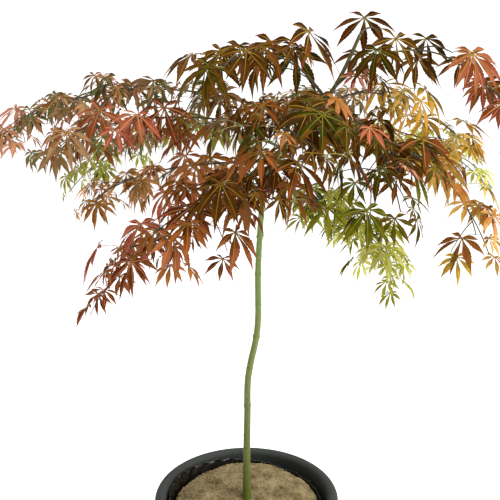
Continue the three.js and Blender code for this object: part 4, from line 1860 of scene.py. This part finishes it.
@dataclass
class Stem:
    """The bare green stem with its ringed joints, and the boughs in their collars."""

    line: StemLine
    crown: Crown
    finishes: Finishes
    sides: int = 28
    step: float = 1.3
    sunk: float = 11.0
    joints: tuple[float, ...] = (
        241, 275, 318, 352, 388, 419, 439, 458, 482, 505, 523, 535, 547, 559, 571, 583,
    )
    joint_turn: float = 1.7
    joint_tilt: float = 0.5
    ring_height: float = 0.3
    ring_width: float = 0.9
    groove_depth: float = 0.12
    groove_above: float = 2.2
    groove_width: float = 0.7
    eye_height: float = 0.55
    eye_above: float = 1.5
    eye_length: float = 1.6
    eye_sharpness: int = 6
    bough_radius: float = 1.6
    bough_tip: float = 1.3
    bough_sides: int = 12
    bough_steps: int = 26
    collar: float = 0.9
    collar_from: float = 1.5
    collar_length: float = 3.2
    knot: float = 0.22
    knot_at: float = 0.55

    def relief(self, heights: np.ndarray) -> np.ndarray:
        """Returns how far the bark stands out at each height and side.

        Args:
            heights: The heights of the rings of points.

        Returns:
            Rows of lengths, one for each side.
        """
        turn = turns(self.sides)
        z = heights[:, None]
        skin = 0.05 * np.sin(3 * turn + z / 31) + 0.04 * np.sin(5 * turn - z / 17)
        skin = skin + 0.03 * np.sin(9 * turn + 2.1 * np.sin(z / 7))
        for number, joint in enumerate(self.joints):
            gap = z - joint - self.joint_tilt * np.sin(turn + number * self.joint_turn)
            skin = skin + self.ring_height * bell(gap, self.ring_width)
            skin = skin - self.groove_depth * bell(gap - self.groove_above, self.groove_width)
            facing = math.pi / 2 * (number % 2)
            eyes = np.maximum(np.cos(2 * (turn - facing)), 0) ** self.eye_sharpness
            skin = skin + self.eye_height * eyes * bell(z - joint - self.eye_above,
                                                        self.eye_length)
        return skin

    def build(self) -> None:
        """Builds the stem and every bough."""
        count = int((self.line.top - self.line.foot) / self.step)
        line = [self.line.point(share) for share in shares(count)]
        for point in line[1:4]:
            # The lowest points stand straight over the foot, so that it meets the soil upright.
            point[0] = line[0][0]
        sunk = [line[0] - UP * (self.sunk * share) for share in shares(4)[:0:-1]]
        points = np.array(sunk + line)
        radii = np.array([self.line.radius_at(p[2]) for p in points])[:, None]
        radii = radii + self.relief(points[:, 2])
        skin, faces = limb_skin(points, radii, self.sides)
        stem = solid_piece("bark_stem", skin, faces, self.finishes.stem)
        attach(stem, BODY)
        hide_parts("stem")
        LOG.info("stem: %d faces", len(faces))
        for spray in self.crown.sprays:
            if spray.limb.bare:
                self.bough(spray)

    def bough(self, spray: Spray) -> None:
        """Builds one bough, from a collar on the stem to where its spray begins."""
        limb, steps = spray.limb, self.bough_steps
        points = np.array([
            limb.point(spray.root, spray.begin * i / steps) for i in range(steps + 1)
        ])
        gone = np.linalg.norm(points - points[0], axis=1)
        radii = np.array([mix(self.bough_radius, self.bough_tip, s) for s in shares(steps)])
        radii = radii + self.collar * bell(gone - self.collar_from, self.collar_length)
        knot = self.knot * bell(gone - gone[-1] * self.knot_at, self.ring_width)
        turn, way = turns(self.bough_sides), gone[:, None]
        bumps = 0.06 * np.sin(3 * turn + way / 5) + 0.05 * np.sin(5 * turn - way / 3)
        skin, faces = limb_skin(points, radii[:, None] + bumps + knot[:, None], self.bough_sides)
        piece = solid_piece(f"bark_bough_{limb.name}", skin, faces, self.finishes.bough)
        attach(piece, BODY)
        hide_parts(f"bough_{limb.name}")
        LOG.info("bough %s: %d faces", limb.name, len(faces))


# ---------------------------------------------------------------- pot, liner and root ball
@dataclass
class Pot:
    """The round-rimmed moulded pot with drain holes in its floor."""

    finishes: Finishes
    height: float = 175
    base_radius: float = 68
    base_corner: float = 5
    shoulder_radius: float = 91
    shoulder_height: float = 144
    rim_radius: float = 100
    rim_width: float = 12
    wall: float = 3.4
    floor: float = 7
    around: int = 144
    drain_holes: int = 5
    drain_radius: float = 5
    drain_circle: float = 42
    sharp_angle: float = 50

    def outline(self) -> list[tuple[float, float]]:
        """Returns the pot's section, from the middle of its foot round to its floor."""
        lip = self.rim_width / 2
        rim, inner = self.rim_radius, self.rim_radius - self.rim_width
        bore, shoulder = self.base_radius - self.wall, self.shoulder_height
        corner = arc(self.base_radius - self.base_corner, self.base_corner, self.base_corner,
                     -90, -8, 8)
        radius, height = corner[-1]
        wall = [(mix(radius, self.shoulder_radius - 0.4, share), mix(height, shoulder - 1.5, share))
                for share in (0.02, 0.35, 0.7, 0.98)]
        under = [(self.shoulder_radius, shoulder - 0.3), (self.shoulder_radius + 0.5, shoulder),
                 (rim - 3.4, shoulder + 2.2), (rim - 2.2, shoulder + 3), (rim - 1.9, shoulder + 4)]
        top = arc(rim - lip, self.height - lip, lip, -2, 182, 22)
        inside = [(inner - 0.2, shoulder + 10), (inner - 0.6, shoulder),
                  (inner - 1.2, shoulder - 4), (bore + 1.0, self.floor + 4),
                  (bore - 1.5, self.floor + 0.6), (bore - 4, self.floor)]
        foot = [(0, 0), (self.base_radius - 12, 0), (self.base_radius - 11, 0)]
        return [*foot, *corner, *wall, *under, *top, *inside, (20, self.floor), (0, self.floor)]

    def build(self) -> None:
        """Turns the outline, drills the drain holes and dresses the pot."""
        foot, *wall, floor = self.outline()
        turn = turns(self.around)
        points, faces = closed_skin([ring(turn, r, z) for r, z in wall], (0, 0, foot[1]),
                                    (0, 0, floor[1]))
        pot = solid_piece("moulded_pot", points, faces, self.finishes.pot)
        drills = []
        for i in range(self.drain_holes):
            angle = 2 * math.pi * i / self.drain_holes
            place = self.drain_circle * xyz(math.cos(angle), math.sin(angle), 0)
            line = np.array([place - UP * 6, place + UP * (self.floor + 6)])
            skin, sides = limb_skin(line, np.array([self.drain_radius] * 2), 20)
            drills.append(solid_piece(f"drill_{i}", skin, sides, self.finishes.pot))
        for drill in drills:
            cut = pot.modifiers.new("drain", "BOOLEAN")
            cut.object, cut.operation, cut.solver = drill, "DIFFERENCE", "EXACT"
        mesh = worked_out(pot)
        pot.modifiers.clear()
        pot.data = mesh
        for drill in drills:
            bpy.data.objects.remove(drill)
        mesh.set_sharp_from_angle(angle=math.radians(self.sharp_angle))
        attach(pot, BODY)
        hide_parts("pot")
        LOG.info("pot: %d faces", len(mesh.polygons))


@dataclass
class Liner:
    """The black film between pot and root ball, crumpled at its lip."""

    finishes: Finishes
    around: int = 360
    film: float = 0.35
    bottom: float = 7.3
    foot_radius: float = 57.4
    radius: float = 80.3
    knee: float = 133.4
    lip: float = 163.5
    raised: float = 7.0
    raised_side: float = 150.0
    flare: float = 4.5
    levels: tuple[float, ...] = (0.2, 0.4, 0.6, 0.75, 0.88, 1.0)

    def build(self) -> None:
        """Builds the film as a closed skin: up its outside, over its lip and down inside."""
        turn = turns(self.around)
        left = np.clip(np.cos(turn - math.radians(self.raised_side)) * 1.25 - 0.25, 0, 1)
        folds = (np.sin(23 * turn + 3 * np.sin(3 * turn)) + 0.6 * np.sin(41 * turn + 1.3)
                 + 0.4 * np.sin(67 * turn + 2.0 * np.sin(5 * turn)))
        slow = np.sin(5 * turn + 0.8) + 0.6 * np.sin(9 * turn + 2.4)
        lip = self.lip + 0.7 * slow + 0.35 * folds + self.raised * left
        flare = self.flare * left + 0.8
        foot, inner = self.foot_radius, self.radius - self.film
        waves = [(a, (0.15 + 0.4 * a) * folds + 0.5 * left * np.sin(31 * turn + 9 * a))
                 for a in self.levels]
        up, down = ([(radius + wave + flare * a ** 2, mix(self.knee + 8, top, a))
                     for a, wave in waves]
                    for radius, top in ((self.radius, lip), (inner, lip - 0.2)))
        outline = [
            (10, self.bottom), (foot - 3, self.bottom), (foot, self.bottom + 3),
            (self.radius, self.knee), *up, (self.radius - 0.2 + 0.5 * folds + flare, lip + 0.3),
            *down[::-1], (inner, self.knee), (foot - self.film, self.bottom + 3 + self.film),
            (foot - 3.3, self.bottom + self.film), (10, self.bottom + self.film),
        ]
        points, faces = closed_skin([ring(turn, r, z) for r, z in outline], (0, 0, self.bottom),
                                    (0, 0, self.bottom + self.film))
        film = solid_piece("crumpled_liner", points, faces, self.finishes.liner)
        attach(film, BODY)
        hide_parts("liner")
        LOG.info("liner: %d faces", len(faces))


@dataclass
class RootBall:
    """The root ball with its domed, gritty top and the grains that lie on it."""

    finishes: Finishes
    scatter: TreeMaker
    radius: float = 78
    foot_radius: float = 56
    seat: float = 9
    knee: float = 133.4
    edge: float = 161.0
    crown: float = 165.0
    mound: float = 10.5
    lump: float = 1.25
    around: int = 220
    rings: int = 62
    grain_density: float = 260000.0

    def surface(self, radius: np.ndarray, turn: np.ndarray) -> np.ndarray:
        """Returns the height of the soil at a radius and turn."""
        share = radius / self.radius
        x, y = radius * np.cos(turn), radius * np.sin(turn)
        dome = self.edge + (self.crown - self.edge) * (1 - share ** 2.6)
        back = np.clip((y / self.radius + 0.25) / 0.85, 0, 1)
        mound = self.mound * back * back * (3 - 2 * back)
        mound = mound * np.clip(1 - ((x - 3) / self.radius) ** 2, 0, 1) ** 1.6 * (1 - share ** 9)
        lumps = (
            0.5 * np.sin(x / 9 + 1.7 * np.sin(y / 13)) + 0.4 * np.sin(y / 7 + 1.1 * np.sin(x / 8))
            + 0.3 * np.sin(x / 3.1 + y / 4.3) * np.sin(y / 2.7 - x / 5.2)
            + 0.22 * np.sin(x / 1.5 + 2 * np.sin(y / 2.2)) * np.sin(y / 1.3 + 1.5 * np.sin(x / 1.9))
        )
        calm = np.clip(radius / 14, 0.25, 1)
        return dome + mound + self.lump * lumps * calm

    def build(self) -> None:
        """Builds the ball, then strews grains over its top."""
        turn = turns(self.around)
        side = [(self.foot_radius, self.seat), (mix(self.foot_radius, self.radius, 0.5), 70),
                (self.radius, self.knee), (self.radius + 0.1, self.edge - 3)]
        reaches = [self.radius * (1 - i / self.rings) ** 0.9 for i in range(self.rings)]
        upper = [ring(turn, r, self.surface(np.full_like(turn, r), turn)) for r in reaches]
        middle = float(np.mean(upper[-1][:, 2]))
        points, faces = closed_skin([ring(turn, r, z) for r, z in side] + upper,
                                    (0, 0, self.seat), (0, 0, middle))
        ball = solid_piece("root_ball_soil", points, faces, self.finishes.soil)
        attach(ball, BODY)
        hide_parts("root_ball")
        top = solid_piece("soil_top", np.vstack(upper), ring_faces(self.rings, self.around),
                          self.finishes.crumb)
        grains = self.scatter.run(top, "soil_grains", {
            "Density": self.grain_density, "Smallest": 0.3 * MM, "Largest": 1.5 * MM,
            "Seed": 5, "Material": self.finishes.crumb,
        })
        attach(grains, BODY)
        LOG.info("root ball: %d faces, grains: %d faces", len(faces), len(grains.data.polygons))


# ---------------------------------------------------------------- studio
@dataclass(frozen=True)
class Studio:
    """The white floor, the soft lights and the camera."""

    floor_radius: float = 9.0
    floor_sides: int = 96
    floor_white: float = 0.93
    floor_roughness: float = 0.9
    camera_place: tuple[float, float, float] = (0.0038, -0.692, 0.6)
    camera_down: float = 12.6
    lens: float = 50.4
    world_light: float = 0.62
    floor_glow: float = 0.5
    backdrop: float = 1.25

    def build(self) -> None:
        """Sets up the studio."""
        self.floor()
        self.lights()
        self.camera()

    def floor(self) -> None:
        """Lays the floor, a flat white disc."""
        material, shader, _ = blank("studio_floor")
        shader.inputs["Base Color"].default_value = (*[self.floor_white] * 3, 1)
        shader.inputs["Roughness"].default_value = self.floor_roughness
        shader.inputs["Emission Color"].default_value = (1, 1, 1, 1)
        shader.inputs["Emission Strength"].default_value = self.floor_glow
        disc = ring(turns(self.floor_sides), self.floor_radius, 0)
        mesh = bpy.data.meshes.new("floor")
        mesh.from_pydata(disc.tolist(), [], [list(range(self.floor_sides))])
        mesh.materials.append(material)
        show(bpy.data.objects.new("floor", mesh))

    def lights(self) -> None:
        """Fills the world with white and adds a large soft light at the right."""
        world = bpy.data.worlds.new("studio")
        world.use_nodes = True
        background = world.node_tree.nodes["Background"]
        background.inputs["Color"].default_value = (1, 1, 1, 1)
        nodes = Nodes(world.node_tree)
        seen = nodes.add("ShaderNodeLightPath").outputs["Is Camera Ray"]
        more = nodes.times(seen, self.backdrop - self.world_light)
        nodes.link(nodes.math("ADD", more, self.world_light), background.inputs["Strength"])
        bpy.context.scene.world = world
        self.lamp("key", (1.3, -0.7, 1.3), (0, 0, 0.45), 0.7, 32)
        self.lamp("top", (0.1, 0.5, 2.6), (0, 0, 0.3), 2.2, 42)

    def lamp(self, name: str, place: tuple, target: tuple, size: float, power: float) -> None:
        """Hangs one square soft light.

        Args:
            name: Its name.
            place: Where it hangs, in metres.
            target: What it points at.
            size: The length of its sides.
            power: Its power in watts.
        """
        data = bpy.data.lights.new(name, "AREA")
        data.shape, data.size, data.energy = "SQUARE", size, power
        lamp = show(bpy.data.objects.new(name, data))
        lamp.location = place
        way = Vector(target) - Vector(place)
        lamp.rotation_euler = way.to_track_quat("-Z", "Y").to_euler()

    def camera(self) -> None:
        """Sets up the camera and how its picture is shown."""
        data = bpy.data.cameras.new("camera")
        data.sensor_width, data.lens = 36.0, self.lens
        camera = show(bpy.data.objects.new("camera", data))
        camera.location = self.camera_place
        camera.rotation_euler = (math.radians(90 - self.camera_down), 0, 0)
        scene = bpy.context.scene
        scene.camera = camera
        scene.view_settings.view_transform = "Standard"


def main() -> None:
    """Builds and dresses the plant, piece after piece."""
    logging.basicConfig(level=logging.INFO, format="%(message)s")
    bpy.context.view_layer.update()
    Studio().build()
    finishes = Finishes()
    crown = Crown(StemLine())
    Pot(finishes).build()
    Liner(finishes).build()
    RootBall(finishes, scatter_tree()).build()
    Stem(crown.line, crown, finishes).build()
    Foliage(crown, finishes, tube_tree()).build()
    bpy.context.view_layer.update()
    LOG.info("leaves in all: %d", sum(len(spray.leaves) for spray in crown.sprays))


if __name__ == "__main__":
    main()
